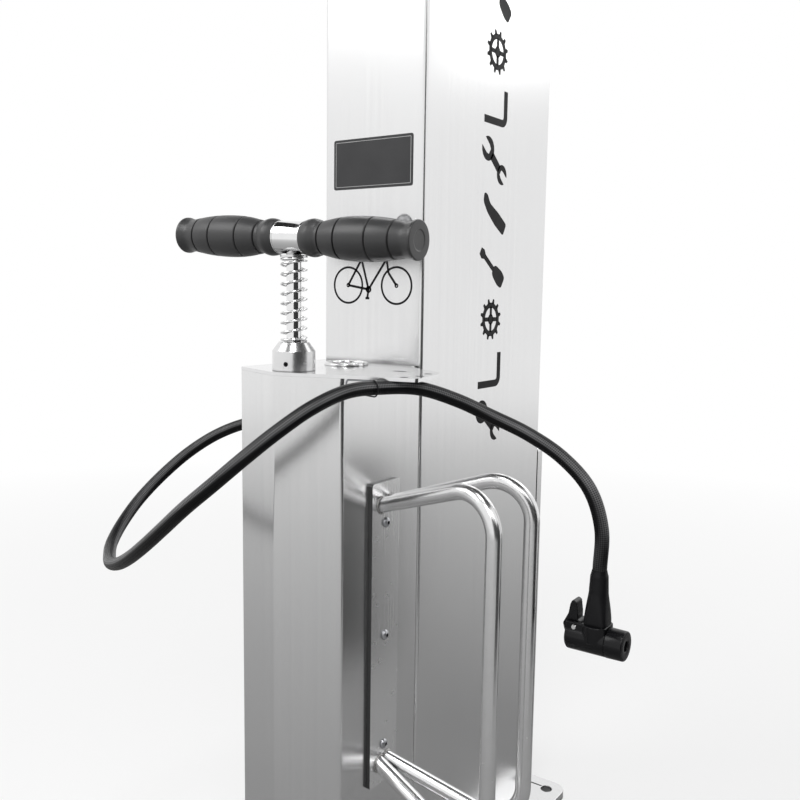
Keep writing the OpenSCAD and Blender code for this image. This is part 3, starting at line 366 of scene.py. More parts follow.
def moulded(name: str, node: bpy.types.Object, voxel: float, passes: int) -> bpy.types.Object:
    """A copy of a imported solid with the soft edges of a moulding.

    The copy is merged, remeshed in voxels and smoothed, and both modifiers are applied.

    Args:
        name: Name of the piece.
        node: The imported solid, which is left alone.
        voxel: Edge of a voxel.
        passes: Smoothing passes.

    Returns:
        The new object.
    """
    made = linked(name, finished(node.data.copy(), 40))
    remesh = made.modifiers.new("voxels", "REMESH")
    remesh.mode = "VOXEL"
    remesh.voxel_size = voxel
    smooth = made.modifiers.new("soft", "SMOOTH")
    smooth.factor = 0.5
    smooth.iterations = passes
    graph = bpy.context.evaluated_depsgraph_get()
    mesh = bpy.data.meshes.new_from_object(made.evaluated_get(graph))
    made.modifiers.clear()
    made.data = mesh
    mesh.shade_smooth()
    return made


@dataclass(frozen=True)
class Plane:
    """A flat place on the station: its origin, the directions to the right and up, and its normal."""

    origin: Array
    right: Array
    up: Array
    normal: Array

    def points(self, flat: Array, out: float) -> Array:
        """Points in space of flat points, raised from the plane by a distance."""
        return self.origin + flat[:, :1] * self.right + flat[:, 1:2] * self.up + self.normal * out


def stroke(points: Array, width: float) -> Array:
    """The outline of a line of even width: the points moved to each side, square to the line.

    Args:
        points: The line's points.
        width: Its width.

    Returns:
        The outline's points.
    """
    along = unit(np.gradient(points, axis=0))
    side = np.stack([-along[:, 1], along[:, 0]], -1) * width / 2
    return np.vstack([points + side, (points - side)[::-1]])


def circle(centre: Pair, radius: float, start: float, end: float, steps: int) -> Array:
    """Points of a circle's arc from one angle to another, in degrees."""
    a = np.radians(np.linspace(start, end, steps + 1))
    return np.array(centre) + radius * np.stack([np.cos(a), np.sin(a)], -1)


# ------------------------------------------------------------- node groups, materials


def grey(value: float, blue: float = 0.0) -> Rgb:
    """A grey with a little more blue."""
    return value, value, value + blue


def darker(tone: Rgb, share: float) -> Rgb:
    """A tone brought down to a share of itself."""
    return tone[0] * share, tone[1] * share, tone[2] * share


class Graph:
    """A node tree with short calls to add nodes and join their sockets."""

    def __init__(self, tree: bpy.types.NodeTree) -> None:
        """Takes the tree and empties it."""
        self.tree = tree
        tree.nodes.clear()

    def add(self, kind: str, inputs: dict[str | int, object] | None = None, **settings: object) -> bpy.types.Node:
        """Adds a node.

        Args:
            kind: Blender's name of the node's type.
            inputs: For each input's name or number, a value or a socket to join to it.
            **settings: Properties of the node itself.

        Returns:
            The node.
        """
        node = self.tree.nodes.new(kind)
        for key, value in settings.items():
            setattr(node, key, value)
        for key, value in (inputs or {}).items():
            if isinstance(value, bpy.types.NodeSocket):
                self.tree.links.new(value, node.inputs[key])
            else:
                node.inputs[key].default_value = value
        return node

    def use(self, group: bpy.types.NodeTree, *inputs: object) -> Sequence[bpy.types.NodeSocket]:
        """Adds a shader node group with its inputs in order, and returns its outputs."""
        return self.add("ShaderNodeGroup", dict(enumerate(inputs)), node_tree=group).outputs

    def math(self, operation: str, a: object, b: object = 0.0) -> bpy.types.NodeSocket:
        """One arithmetic step on two values or sockets."""
        return self.add("ShaderNodeMath", {0: a, 1: b}, operation=operation).outputs[0]

    def weighed(self, a: object, share_a: float, b: object, share_b: float) -> bpy.types.NodeSocket:
        """The sum of two values, each times its share."""
        return self.math("ADD", self.math("MULTIPLY", a, share_a), self.math("MULTIPLY", b, share_b))

    def ranged(
        self, value: object, low: float, high: float, to_low: float = 0.0, to_high: float = 1.0,
    ) -> bpy.types.NodeSocket:
        """A value carried from one range to another and held inside it."""
        return self.add("ShaderNodeMapRange", {0: value, 1: low, 2: high, 3: to_low, 4: to_high}).outputs[0]

    def noise(self, vector: object, scale: object, detail: float = 2.0, rough: float = 0.5) -> bpy.types.NodeSocket:
        """Smooth noise between 0 and 1."""
        inputs = {"Vector": vector, "Scale": scale, "Detail": detail, "Roughness": rough}
        return self.add("ShaderNodeTexNoise", inputs).outputs[0]

    def blended(self, share: object, a: object, b: object) -> bpy.types.NodeSocket:
        """Two colours mixed by a share, each a socket or its red, green and blue."""
        a, b = (colour if isinstance(colour, bpy.types.NodeSocket) else (*colour, 1) for colour in (a, b))
        return self.add("ShaderNodeMix", {0: share, 6: a, 7: b}, data_type="RGBA").outputs[2]

    def result(self, *values: object) -> bpy.types.NodeTree:
        """Puts a group's values out in order, and returns its tree."""
        self.add("NodeGroupOutput", dict(enumerate(values)))
        return self.tree


def effect(name: str, inputs: dict[str, float | Triple], *outputs: str) -> tuple[Graph, list[bpy.types.NodeSocket]]:
    """Starts a shader node group.

    Args:
        name: Name of the group.
        inputs: Name and default of each input, a number or a vector.
        *outputs: Names of the numbers that it puts out.

    Returns:
        The group's graph and a socket for each input.
    """
    tree = bpy.data.node_groups.new(name, "ShaderNodeTree")
    for key, value in inputs.items():
        kind = "NodeSocketFloat" if isinstance(value, float) else "NodeSocketVector"
        tree.interface.new_socket(name=key, in_out="INPUT", socket_type=kind).default_value = value
    for key in outputs:
        tree.interface.new_socket(name=key, in_out="OUTPUT", socket_type="NodeSocketFloat")
    graph = Graph(tree)
    return graph, list(graph.add("NodeGroupInput").outputs)[:len(inputs)]


def brush_effect() -> bpy.types.NodeTree:
    """Brushed grain: fine and coarse noise, both drawn out along the axis of the smallest fineness.

    Returns:
        The group.
    """
    graph, (at, fineness) = effect("brush_grain", {"Vector": ORIGIN, "Fineness": ORIGIN}, "Line", "Band")
    drawn = graph.add("ShaderNodeVectorMath", {0: at, 1: fineness}, operation="MULTIPLY").outputs[0]
    return graph.result(graph.noise(drawn, 1.0, 3.0, 0.6), graph.noise(drawn, 0.09))


def handling_effect() -> bpy.types.NodeTree:
    """Marks of use: soft clouds, and small sharp specks where a second noise peaks.

    Returns:
        The group.
    """
    graph, (at, size) = effect("handling_marks", {"Vector": ORIGIN, "Size": 1.0}, "Cloud", "Speck")
    scale = graph.math("DIVIDE", 1.0, size)
    cloud = graph.noise(at, scale, 3.0)
    speck = graph.noise(at, graph.math("MULTIPLY", scale, 22.0), 1.0)
    return graph.result(graph.ranged(cloud, 0.35, 0.7), graph.ranged(speck, 0.68, 0.76))


def grain_effect() -> bpy.types.NodeTree:
    """Moulded grain: the rounded cells of a fine Voronoi pattern with noise over them.

    Returns:
        The group.
    """
    graph, (at, pitch) = effect("moulded_grain", {"Vector": ORIGIN, "Pitch": 1.0}, "Height")
    cells = graph.math("DIVIDE", 1.0, pitch)
    pebble = graph.add("ShaderNodeTexVoronoi", {"Vector": at, "Scale": cells}).outputs[0]
    return graph.result(graph.math("SUBTRACT", graph.math("MULTIPLY", graph.noise(at, cells), 0.6), pebble))


def edge_face_effect() -> bpy.types.NodeTree:
    """Edge faces of a sheet: 1 where the surface turns away from the sheet's own axis.

    Returns:
        The group.
    """
    graph, (normal, axis) = effect("edge_face_mask", {"Normal": ORIGIN, "Axis": ORIGIN}, "Edge")
    facing = graph.add("ShaderNodeVectorMath", {0: normal, 1: axis}, operation="DOT_PRODUCT").outputs["Value"]
    return graph.result(graph.ranged(graph.math("ABSOLUTE", facing), 0.6, 0.9, 1.0, 0.0))


def wrap_effect() -> bpy.types.NodeTree:
    """The print of a cloth wrap on a hose: the product of two sines that run round it both ways.

    Returns:
        The group.
    """
    graph, (at, per_metre, per_turn) = effect("cloth_wrap", {"Vector": ORIGIN, "Along": 1.0, "Round": 1.0}, "Height")
    parts = graph.add("ShaderNodeSeparateXYZ", {0: at}).outputs
    along = graph.math("MULTIPLY", parts[0], graph.math("MULTIPLY", per_metre, TAU))
    around = graph.math("MULTIPLY", parts[1], graph.math("MULTIPLY", per_turn, TAU))
    one, two = (graph.math("SINE", graph.math(way, along, around)) for way in ("ADD", "SUBTRACT"))
    return graph.result(graph.math("MULTIPLY", one, two))


def shading_group(crisp_deg: float) -> bpy.types.NodeTree:
    """A geometry node group that shades a mesh smooth, apart from edges sharper than an angle.

    Args:
        crisp_deg: The angle.

    Returns:
        The group.
    """
    tree = bpy.data.node_groups.new("even_shading", "GeometryNodeTree")
    for way in ("INPUT", "OUTPUT"):
        tree.interface.new_socket(name="Geometry", in_out=way, socket_type="NodeSocketGeometry")
    graph = Graph(tree)
    given = graph.add("NodeGroupInput").outputs[0]
    smooth = graph.add("GeometryNodeSetShadeSmooth", {0: given, 2: True}, domain="FACE").outputs[0]
    angle = graph.add("GeometryNodeInputMeshEdgeAngle").outputs[0]
    sharp = graph.add("FunctionNodeCompare", {0: angle, 1: math.radians(crisp_deg)}, operation="GREATER_THAN")
    crisp = graph.add("GeometryNodeSetShadeSmooth", {0: smooth, 1: sharp.outputs[0], 2: False}, domain="EDGE")
    return graph.result(crisp.outputs[0])


class Effects:
    """The shader node groups, each built once and shared by the materials."""

    def __init__(self) -> None:
        """Builds the groups."""
        self.brush = brush_effect()
        self.handling = handling_effect()
        self.grain = grain_effect()
        self.cut = edge_face_effect()
        self.wrap = wrap_effect()


class Surface(Graph):
    """A new material of one Principled shader with its plain values set on its own sockets."""

    def __init__(self, name: str, tone: Rgb, roughness: float, metallic: float = 0.0) -> None:
        """Makes the material and its shader.

        Args:
            name: Name of the material.
            tone: Its colour.
            roughness: Its roughness.
            metallic: 1 for a metal.
        """
        self.material = bpy.data.materials.new(name)
        self.material.use_nodes = True
        self.material.diffuse_color = (*tone, 1)
        super().__init__(self.material.node_tree)
        values = {"Base Color": (*tone, 1), "Roughness": roughness, "Metallic": metallic}
        self.shader = self.add("ShaderNodeBsdfPrincipled", values)
        self.output = self.add("ShaderNodeOutputMaterial", {0: self.shader.outputs[0]})

    def painted_crevice_shade(self, colour: bpy.types.NodeSocket, tone: Rgb, reach: float) -> bpy.types.NodeSocket:
        """A colour with painted shade: it darkens to a tenth of a tone in corners narrower than a reach."""
        seen = self.add("ShaderNodeAmbientOcclusion", {"Distance": reach}, samples=8).outputs["AO"]
        return self.blended(self.ranged(seen, 0.25, 0.85), darker(tone, 0.1), colour)

    def coat(
        self, colour: bpy.types.NodeSocket, roughness: bpy.types.NodeSocket, height: bpy.types.NodeSocket, depth: float,
    ) -> bpy.types.Material:
        """Joins the shader to what varies over the surface.

        Args:
            colour: Its colour.
            roughness: Its roughness.
            height: The height of its relief, from 0 to 1.
            depth: How far a height of 1 stands out.

        Returns:
            The material.
        """
        bump = self.add("ShaderNodeBump", {"Height": height, "Distance": depth, "Strength": 1.0}).outputs[0]
        for key, socket in (("Base Color", colour), ("Roughness", roughness), ("Normal", bump)):
            self.tree.links.new(socket, self.shader.inputs[key])
        return self.material


@dataclass(frozen=True)
class Metal:
    """A bare metal with a drawn grain, handling marks, small pits and painted shade in its corners.

    Fineness is the grain's frequency per metre on each axis, smallest along the lines. A flat sheet has an axis, and
    its faces turned away from it, its edges, are darkened.
    """

    name: str
    tone: Rgb
    dull: Rgb
    roughness: float
    spread: float
    fineness: Triple
    depth: float
    mark_size: float
    # reach of the painted shade that darkens narrow corners
    shade_reach: float = 0.007
    sheet_axis: Triple | None = None
    # share of the dull tone on the darkened edge faces
    edge_face_share: float = 0.12
    line_share: float = 0.25
    band_share: float = 0.35
    cloud_share: float = 0.4
    pit_roughness: float = 0.03

    def build(self, effects: Effects) -> bpy.types.Material:
        """Builds the material: grain and clouds tint the metal, change its gloss and lift its surface; painted shade
        darkens its corners, and a sheet's edge faces are darkened.

        Args:
            effects: The shared node groups.

        Returns:
            The material.
        """
        surface = Surface(self.name, self.tone, self.roughness, 1.0)
        at = surface.add("ShaderNodeTexCoord").outputs["Object"]
        line, band = surface.use(effects.brush, at, self.fineness)
        cloud, speck = surface.use(effects.handling, at, self.mark_size)
        lines = surface.ranged(line, 0.3, 0.7, 0.0, self.line_share)
        grain = surface.math("ADD", lines, surface.ranged(band, 0.3, 0.7, 0.0, self.band_share))
        tint_share = surface.math("ADD", grain, surface.math("MULTIPLY", cloud, self.cloud_share))
        colour = surface.blended(tint_share, self.tone, self.dull)
        # the faces turned away from the sheet's axis, its edges, are darkened to a share of the dull tone
        if self.sheet_axis is not None:
            normal = surface.add("ShaderNodeNewGeometry").outputs["Normal"]
            edge = surface.use(effects.cut, normal, self.sheet_axis)[0]
            colour = surface.blended(edge, colour, darker(self.dull, self.edge_face_share))
        gloss = surface.weighed(line, 0.6, cloud, 0.4)
        rough = surface.ranged(gloss, 0.2, 0.8, self.roughness - self.spread, self.roughness + self.spread)
        pitted = surface.math("ADD", rough, surface.math("MULTIPLY", speck, self.pit_roughness))
        # painted shade: ambient occlusion darkens the colour in narrow corners
        return surface.coat(surface.painted_crevice_shade(colour, self.dull, self.shade_reach), pitted, line, self.depth)


@dataclass(frozen=True)
class Moulding:
    """Rubber or plastic with a moulded grain, a dusty bloom, handling marks and painted shade in its corners."""

    name: str
    tone: Rgb
    bloom: Rgb
    roughness: float
    pitch: float
    depth: float
    shine: float
    mark_size: float = 0.03
    # reach of the painted shade that darkens narrow corners
    shade_reach: float = 0.0025

    def build(self, effects: Effects) -> bpy.types.Material:
        """Builds the material: clouds of bloom lighten and dull it, the grain lifts its surface, and painted shade
        darkens its corners.

        Args:
            effects: The shared node groups.

        Returns:
            The material.
        """
        surface = Surface(self.name, self.tone, self.roughness)
        surface.shader.inputs["Specular IOR Level"].default_value = self.shine
        at = surface.add("ShaderNodeTexCoord").outputs["Object"]
        grain = surface.use(effects.grain, at, self.pitch)[0]
        cloud, speck = surface.use(effects.handling, at, self.mark_size)
        unshaded = surface.blended(surface.weighed(cloud, 0.7, speck, 0.3), self.tone, self.bloom)
        rough = surface.ranged(cloud, 0.0, 1.0, self.roughness - 0.05, self.roughness + 0.07)
        # painted shade: ambient occlusion darkens the colour in narrow corners
        return surface.coat(surface.painted_crevice_shade(unshaded, self.tone, self.shade_reach), rough, grain, self.depth)


@dataclass(frozen=True)
class WrappedHose:
    """Black hose rubber with the print of its cloth wrap, read from the hose's own UV map, and a painted highlight on
    its upper side.
    """

    name: str = "hose_rubber"
    tone: Rgb = grey(0.0015, 0.0005)
    bloom: Rgb = grey(0.010, 0.001)
    # lighter tone of the painted highlight on the crowns that face up
    painted_highlight: Rgb = grey(0.26, 0.005)
    roughness: float = 0.32
    per_metre: float = 300.0
    per_turn: float = 10.0
    depth: float = 1.8e-4
    shine: float = 0.16
    mark_size: float = 0.05

    def build(self, effects: Effects) -> bpy.types.Material:
        """Builds the material: the wrap's crowns are lighter and glossier, and carry a painted highlight where they
        face up.

        Args:
            effects: The shared node groups.

        Returns:
            The material.
        """
        surface = Surface(self.name, self.tone, self.roughness)
        surface.shader.inputs["Specular IOR Level"].default_value = self.shine
        at = surface.add("ShaderNodeTexCoord").outputs
        wrap = surface.use(effects.wrap, at["UV"], self.per_metre, self.per_turn)[0]
        cloud = surface.use(effects.handling, at["Object"], self.mark_size)[0]
        crown = surface.ranged(wrap, -1.0, 1.0)
        normal = surface.add("ShaderNodeNewGeometry").outputs["Normal"]
        upward = surface.add("ShaderNodeSeparateXYZ", {0: normal}).outputs["Z"]
        # painted highlight: a light band on the upward-facing side, mottled by the handling clouds
        painted_highlight_band = surface.math("MULTIPLY", surface.ranged(upward, -0.05, 0.2), surface.ranged(upward, 0.5, 0.8, 1.0, 0.1))
        tint_share = surface.math("MULTIPLY", painted_highlight_band, surface.ranged(cloud, 0.0, 1.0, 0.55, 1.0))
        colour = surface.blended(tint_share, self.tone, surface.blended(crown, self.bloom, self.painted_highlight))
        rough = surface.ranged(crown, 0.0, 1.0, self.roughness + 0.1, self.roughness - 0.05)
        return surface.coat(colour, rough, crown, self.depth)


class Finishes:
    """Every material of the station, by name."""

    def __init__(self) -> None:
        """Builds the materials; the slots' own materials carry the slots' names."""
        effects = Effects()
        upright, flat, even = (2400.0, 2400.0, 14.0), (14.0, 2400.0, 2400.0), (900.0, 900.0, 900.0)
        sheet, dull_sheet, dull_plate = grey(0.80), grey(0.74, 0.005), grey(0.88, 0.005)
        specs = [
            # name, tone, dull tone, roughness and its spread, fineness, depth, mark size, reach of the painted corner
            # shade, sheet axis
            Metal("brushed_steel", sheet, dull_sheet, 0.22, 0.02, upright, 1.0e-6, 0.2),
            Metal("housing_steel", sheet, dull_sheet, 0.22, 0.02, upright, 1.0e-6, 0.2, 0.001),
            Metal("plate_steel", grey(0.94), dull_plate, 0.27, 0.02, upright, 1.0e-6, 0.2, 0.003, (1.0, 0.0, 0.0)),
            Metal("brushed_steel_flat", sheet, dull_sheet, 0.24, 0.02, flat, 1.0e-6, 0.2),
            Metal("polished_steel", grey(0.86), grey(0.78, 0.005), 0.08, 0.02, even, 5.0e-7, 0.08, 0.004),
            Metal("rail_steel", sheet, grey(0.72, 0.005), 0.24, 0.03, even, 2.0e-6, 0.08),
            Metal("lid_steel", grey(0.78, 0.005), grey(0.70, 0.005), 0.16, 0.03, flat, 2.0e-6, 0.08, 0.001),
            Metal("satin_steel", grey(0.78), grey(0.68, 0.005), 0.24, 0.04, flat, 4.0e-6, 0.06, 0.002),
            Metal("zinc_steel", (0.50, 0.51, 0.53), (0.36, 0.365, 0.38), 0.34, 0.08, even, 1.2e-5, 0.03),
            Metal("weld_steel", (0.60, 0.59, 0.575), (0.36, 0.355, 0.35), 0.30, 0.08, even, 2.0e-5, 0.006),
            Metal("cast_steel", grey(0.26, 0.005), grey(0.20, 0.005), 0.50, 0.05, even, 6.0e-6, 0.02),
            Metal("black_oxide", grey(0.030, 0.002), grey(0.020, 0.001), 0.40, 0.05, even, 4.0e-6, 0.01),
            Metal("brass", (0.80, 0.62, 0.30), (0.55, 0.40, 0.18), 0.28, 0.06, even, 8.0e-6, 0.03),
            # name, tone, bloom, roughness, pitch, depth, shine
            Moulding("grip_rubber", grey(0.038, 0.001), grey(0.052, 0.001), 0.38, 0.0011, 4.0e-5, 0.50),
            Moulding("seal_rubber", grey(0.016, 0.001), grey(0.028, 0.001), 0.60, 0.0008, 3.0e-5, 0.25),
            Moulding("neck_rubber", grey(0.005, 0.001), grey(0.010, 0.001), 0.34, 0.0009, 2.0e-5, 0.20),
            Moulding("black_plastic", grey(0.005, 0.001), grey(0.009, 0.001), 0.26, 0.0007, 1.0e-5, 0.25),
            Moulding("panel_film", grey(0.045, 0.002), grey(0.055, 0.002), 0.36, 0.0009, 6.0e-6, 0.30),
            Moulding("black_ink", grey(0.006, 0.001), grey(0.011, 0.001), 0.50, 0.0006, 6.0e-6, 0.15),
            Moulding("pale_ink", grey(0.55), grey(0.48), 0.42, 0.0006, 8.0e-6, 0.40),
            WrappedHose(),
        ]
        self.by_name = {spec.name: spec.build(effects) for spec in specs}

    def dress(self, piece: bpy.types.Object, name: str) -> None:
        """Gives a piece one material in place of its own."""
        piece.data.materials.clear()
        piece.data.materials.append(self.by_name[name])


# ------------------------------------------------------------------------ the station


@dataclass
class Assembly:
    """A sub-assembly and the finishes that its pieces are dressed in."""

    finishes: Finishes

    def placed(
        self, piece: bpy.types.Object, finish: str, slot: Slot, *nodes: str, body: Body = Body.STATION,
    ) -> bpy.types.Object:
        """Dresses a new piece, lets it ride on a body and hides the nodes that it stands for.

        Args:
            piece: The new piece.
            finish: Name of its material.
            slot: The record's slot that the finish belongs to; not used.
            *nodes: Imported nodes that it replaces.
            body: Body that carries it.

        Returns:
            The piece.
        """
        self.finishes.dress(piece, finish)
        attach(piece, body.value)
        if nodes:
            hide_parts(*nodes)
        LOG.info("%s: %d vertices on %s", piece.name, len(piece.data.vertices), body.value)
        return piece


@dataclass
class AirHose(Assembly):
    """The hose from the gland on the -X wall, in front of the pump, over the wheel holder and down."""

    diameter: float = 12 * MM
    route_mm: tuple[Triple, ...] = (
        (-82, -84, 499), (-116, -84, 499), (-149, -89, 493), (-178, -103, 480),
        (-201, -122, 461), (-217, -145, 438), (-225, -171, 414), (-221, -197, 394),
        (-207, -221, 381), (-183, -242, 377), (-155, -261, 380), (-125, -275, 389),
        (-95, -286, 403), (-65, -294, 421), (-35, -299, 442), (-6, -301, 464),
        (21, -296, 486), (44, -285, 508), (61, -266, 528), (75, -241, 545.5), (85, -211, 556),
        (95, -180, 557.5), (115, -151, 556), (138, -128, 546), (162, -110, 532.5),
        (192, -100, 519), (222, -94, 501), (245, -90, 477), (256, -88, 445), (256, -88, 410),
    )
    steps_per_span: int = 10
    sides: int = 28

    def build(self, with_pieces: Sequence[bpy.types.Object]) -> None:
        """Builds the hose as a tube on the smooth curve through its route.

        Args:
            with_pieces: The head's pieces; not used.
        """
        route = np.array(self.route_mm) * MM
        path = through(route, self.steps_per_span)
        lengths = arc_lengths(path)
        piece = skin("air_hose", tube_grid(path, self.diameter / 2, self.sides), 60, lengths)
        self.placed(piece, "hose_rubber", Slot.HOSE_RUBBER, "hose")
        LOG.info("hose length %.4f m", lengths[-1])


@dataclass
class HoseHook(Assembly):
    """The wire eye under the lid's edge and the tie that holds the hose to it."""

    corner: Triple = (60 * MM, -185 * MM, 551 * MM)
    along: Pair = (65.0, 17.0)
    start: float = 2 * MM
    size: Pair = (26 * MM, 12 * MM)
    set_back: float = 1.5 * MM
    wire: float = 1.7 * MM
    bend: float = 3 * MM
    tie_at: Triple = (93.4 * MM, -185.6 * MM, 557.0 * MM)
    tie_wire: float = 1.3 * MM
    eye_at: float = 16 * MM
    hose_radius: float = 6 * MM

    def plane(self) -> Plane:
        """The eye's own plane, from its lower corner.

        Returns:
            The plane.
        """
        u = unit(np.array([*self.along, 0.0]))
        out = np.array([u[1], -u[0], 0.0])
        return Plane(np.array(self.corner) + u * self.start - out * self.set_back, u, UP, out)

    def eye(self) -> None:
        """Builds the eye: wire bent to a rectangle with rounded corners."""
        half = self.wire / 2
        length, height = self.size
        flat = np.array([[half, half], [length - half, half], [length - half, height - half], [half, height - half]])
        path = self.plane().points(rounded(flat, self.bend, 8, True), 0.0)
        piece = skin("hook_eye", tube_grid(path, half, 14), 50, looped=True)
        self.placed(piece, "zinc_steel", Slot.POLISHED_STEEL, "hose_hook")

    def tie(self) -> None:
        """Builds the tie: its path is the hull of a circle round the hose and one round the eye's wire."""
        plane = self.plane()
        low = plane.points(np.array([[self.eye_at, self.wire / 2]]), 0.0)[0]
        hose = np.array(self.tie_at)
        reach = unit((low - hose) * [1, 1, 0])
        far = np.array([(low - hose) @ reach, low[2] - hose[2]])
        a = np.linspace(0, TAU, 96, endpoint=False)
        way = np.stack([np.cos(a), np.sin(a)], -1)
        near, beyond = way * (self.hose_radius + self.tie_wire / 2), far + way * self.wire
        flat = np.where((near * way).sum(1, keepdims=True) > (beyond * way).sum(1, keepdims=True), near, beyond)
        path = Plane(hose, reach, UP, np.cross(reach, UP)).points(flat, 0.0)
        piece = skin("hose_tie", tube_grid(path, self.tie_wire / 2, 12), 50, looped=True)
        self.placed(piece, "neck_rubber", Slot.SEAL_RUBBER, "hose_strap")

    def build(self) -> None:
        """Builds the eye and the tie."""
        self.eye()
        self.tie()


@dataclass
class PumpHead(Assembly):
    """The lever head that hangs on the hose: neck, body, collar and thumb lever.

    The neck's shape is rows of a share of its length and a radius in millimetres.
    """

    at: Triple = (256 * MM, -88 * MM, 350 * MM)
    neck_from: float = 14 * MM
    neck_length: float = 46 * MM
    neck_shape: tuple[Pair, ...] = (
        (0, 6.3), (0.07, 7.0), (0.1, 7.5), (0.42, 8.2), (0.62, 9.4), (0.9, 10.9), (0.96, 11.0), (1.0, 10.9),
    )
    square_from: float = 0.45
    square_over: float = 0.45
    squareness: float = 2.2
    collar_x: float = 10.6 * MM
    collar_length: float = 15 * MM
    collar_radius: float = 12.7 * MM
    collar_socket: float = 10.2 * MM
    socket_depth: float = 8 * MM
    valve_hole: float = 4.5 * MM
    body_voxel: float = 0.45 * MM
    lever_voxel: float = 0.4 * MM
    soft_passes: int = 3

    def neck(self) -> bpy.types.Object:
        """Builds the neck.

        Its section at each height is a superellipse: round at the hose, and nearer a
        rounded square as its exponent grows towards the body.

        Returns:
            The neck.
        """
        s = np.linspace(0, 1, 60)
        knots, radii = np.array(self.neck_shape).T
        radius = np.interp(s, knots, radii * MM)
        power = (2 + self.squareness * np.clip((s - self.square_from) / self.square_over, 0, 1) ** 1.5)[:, None]
        a = np.linspace(0, TAU, 64, endpoint=False)
        spread = np.abs(np.cos(a)) ** power + np.abs(np.sin(a)) ** power
        r = radius[:, None] * spread ** (-1 / power) * (1 - 0.04 * (power - 2))
        top = self.neck_from + self.neck_length
        x, y, z = self.at
        grid = np.stack([
            x + r * np.cos(a), y + r * np.sin(a),
            np.broadcast_to((z + top - s * self.neck_length)[:, None], r.shape),
        ], -1)
        piece = skin("hose_neck", grid, 35)
        return self.placed(piece, "neck_rubber", Slot.NECK_RUBBER, "head_neck")

    def collar(self) -> bpy.types.Object:
        """Builds the collar: a turned ring with soft edges and a valve hole.

        Returns:
            The collar.
        """
        length, r = self.collar_length, self.collar_radius
        hole, socket, depth = self.valve_hole, self.collar_socket, self.socket_depth
        outline = rounded(np.array([
            [depth, hole], [length, hole], [length, r - 0.2 * MM], [0, r], [0, socket], [depth, socket],
        ]), [0, 0.8 * MM, 1.4 * MM, 0.6 * MM, 0, 0])
        origin = np.array(self.at) + [self.collar_x, 0, 0]
        piece = skin("valve_collar", turned_grid(outline, origin, np.array([1, 0, 0]), 72), 35, looped=True)
        return self.placed(piece, "black_plastic", Slot.BLACK_PLASTIC, "head_collar")

    def build(self, nodes: dict[str, bpy.types.Object]) -> list[bpy.types.Object]:
        """Builds the head.

        Args:
            nodes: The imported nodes.

        Returns:
            The pieces that go with the hose.
        """
        body = moulded("head_housing", nodes["head_body"], self.body_voxel, self.soft_passes)
        self.placed(body, "black_plastic", Slot.BLACK_PLASTIC, "head_body")
        lever = moulded("thumb_latch", nodes["head_lever"], self.lever_voxel, self.soft_passes)
        self.placed(lever, "black_plastic", Slot.BLACK_PLASTIC, "head_lever", body=Body.THUMB_LEVER)
        return [self.neck(), self.collar(), body, lever, nodes["valve_seal"], nodes["lever_pin"]]


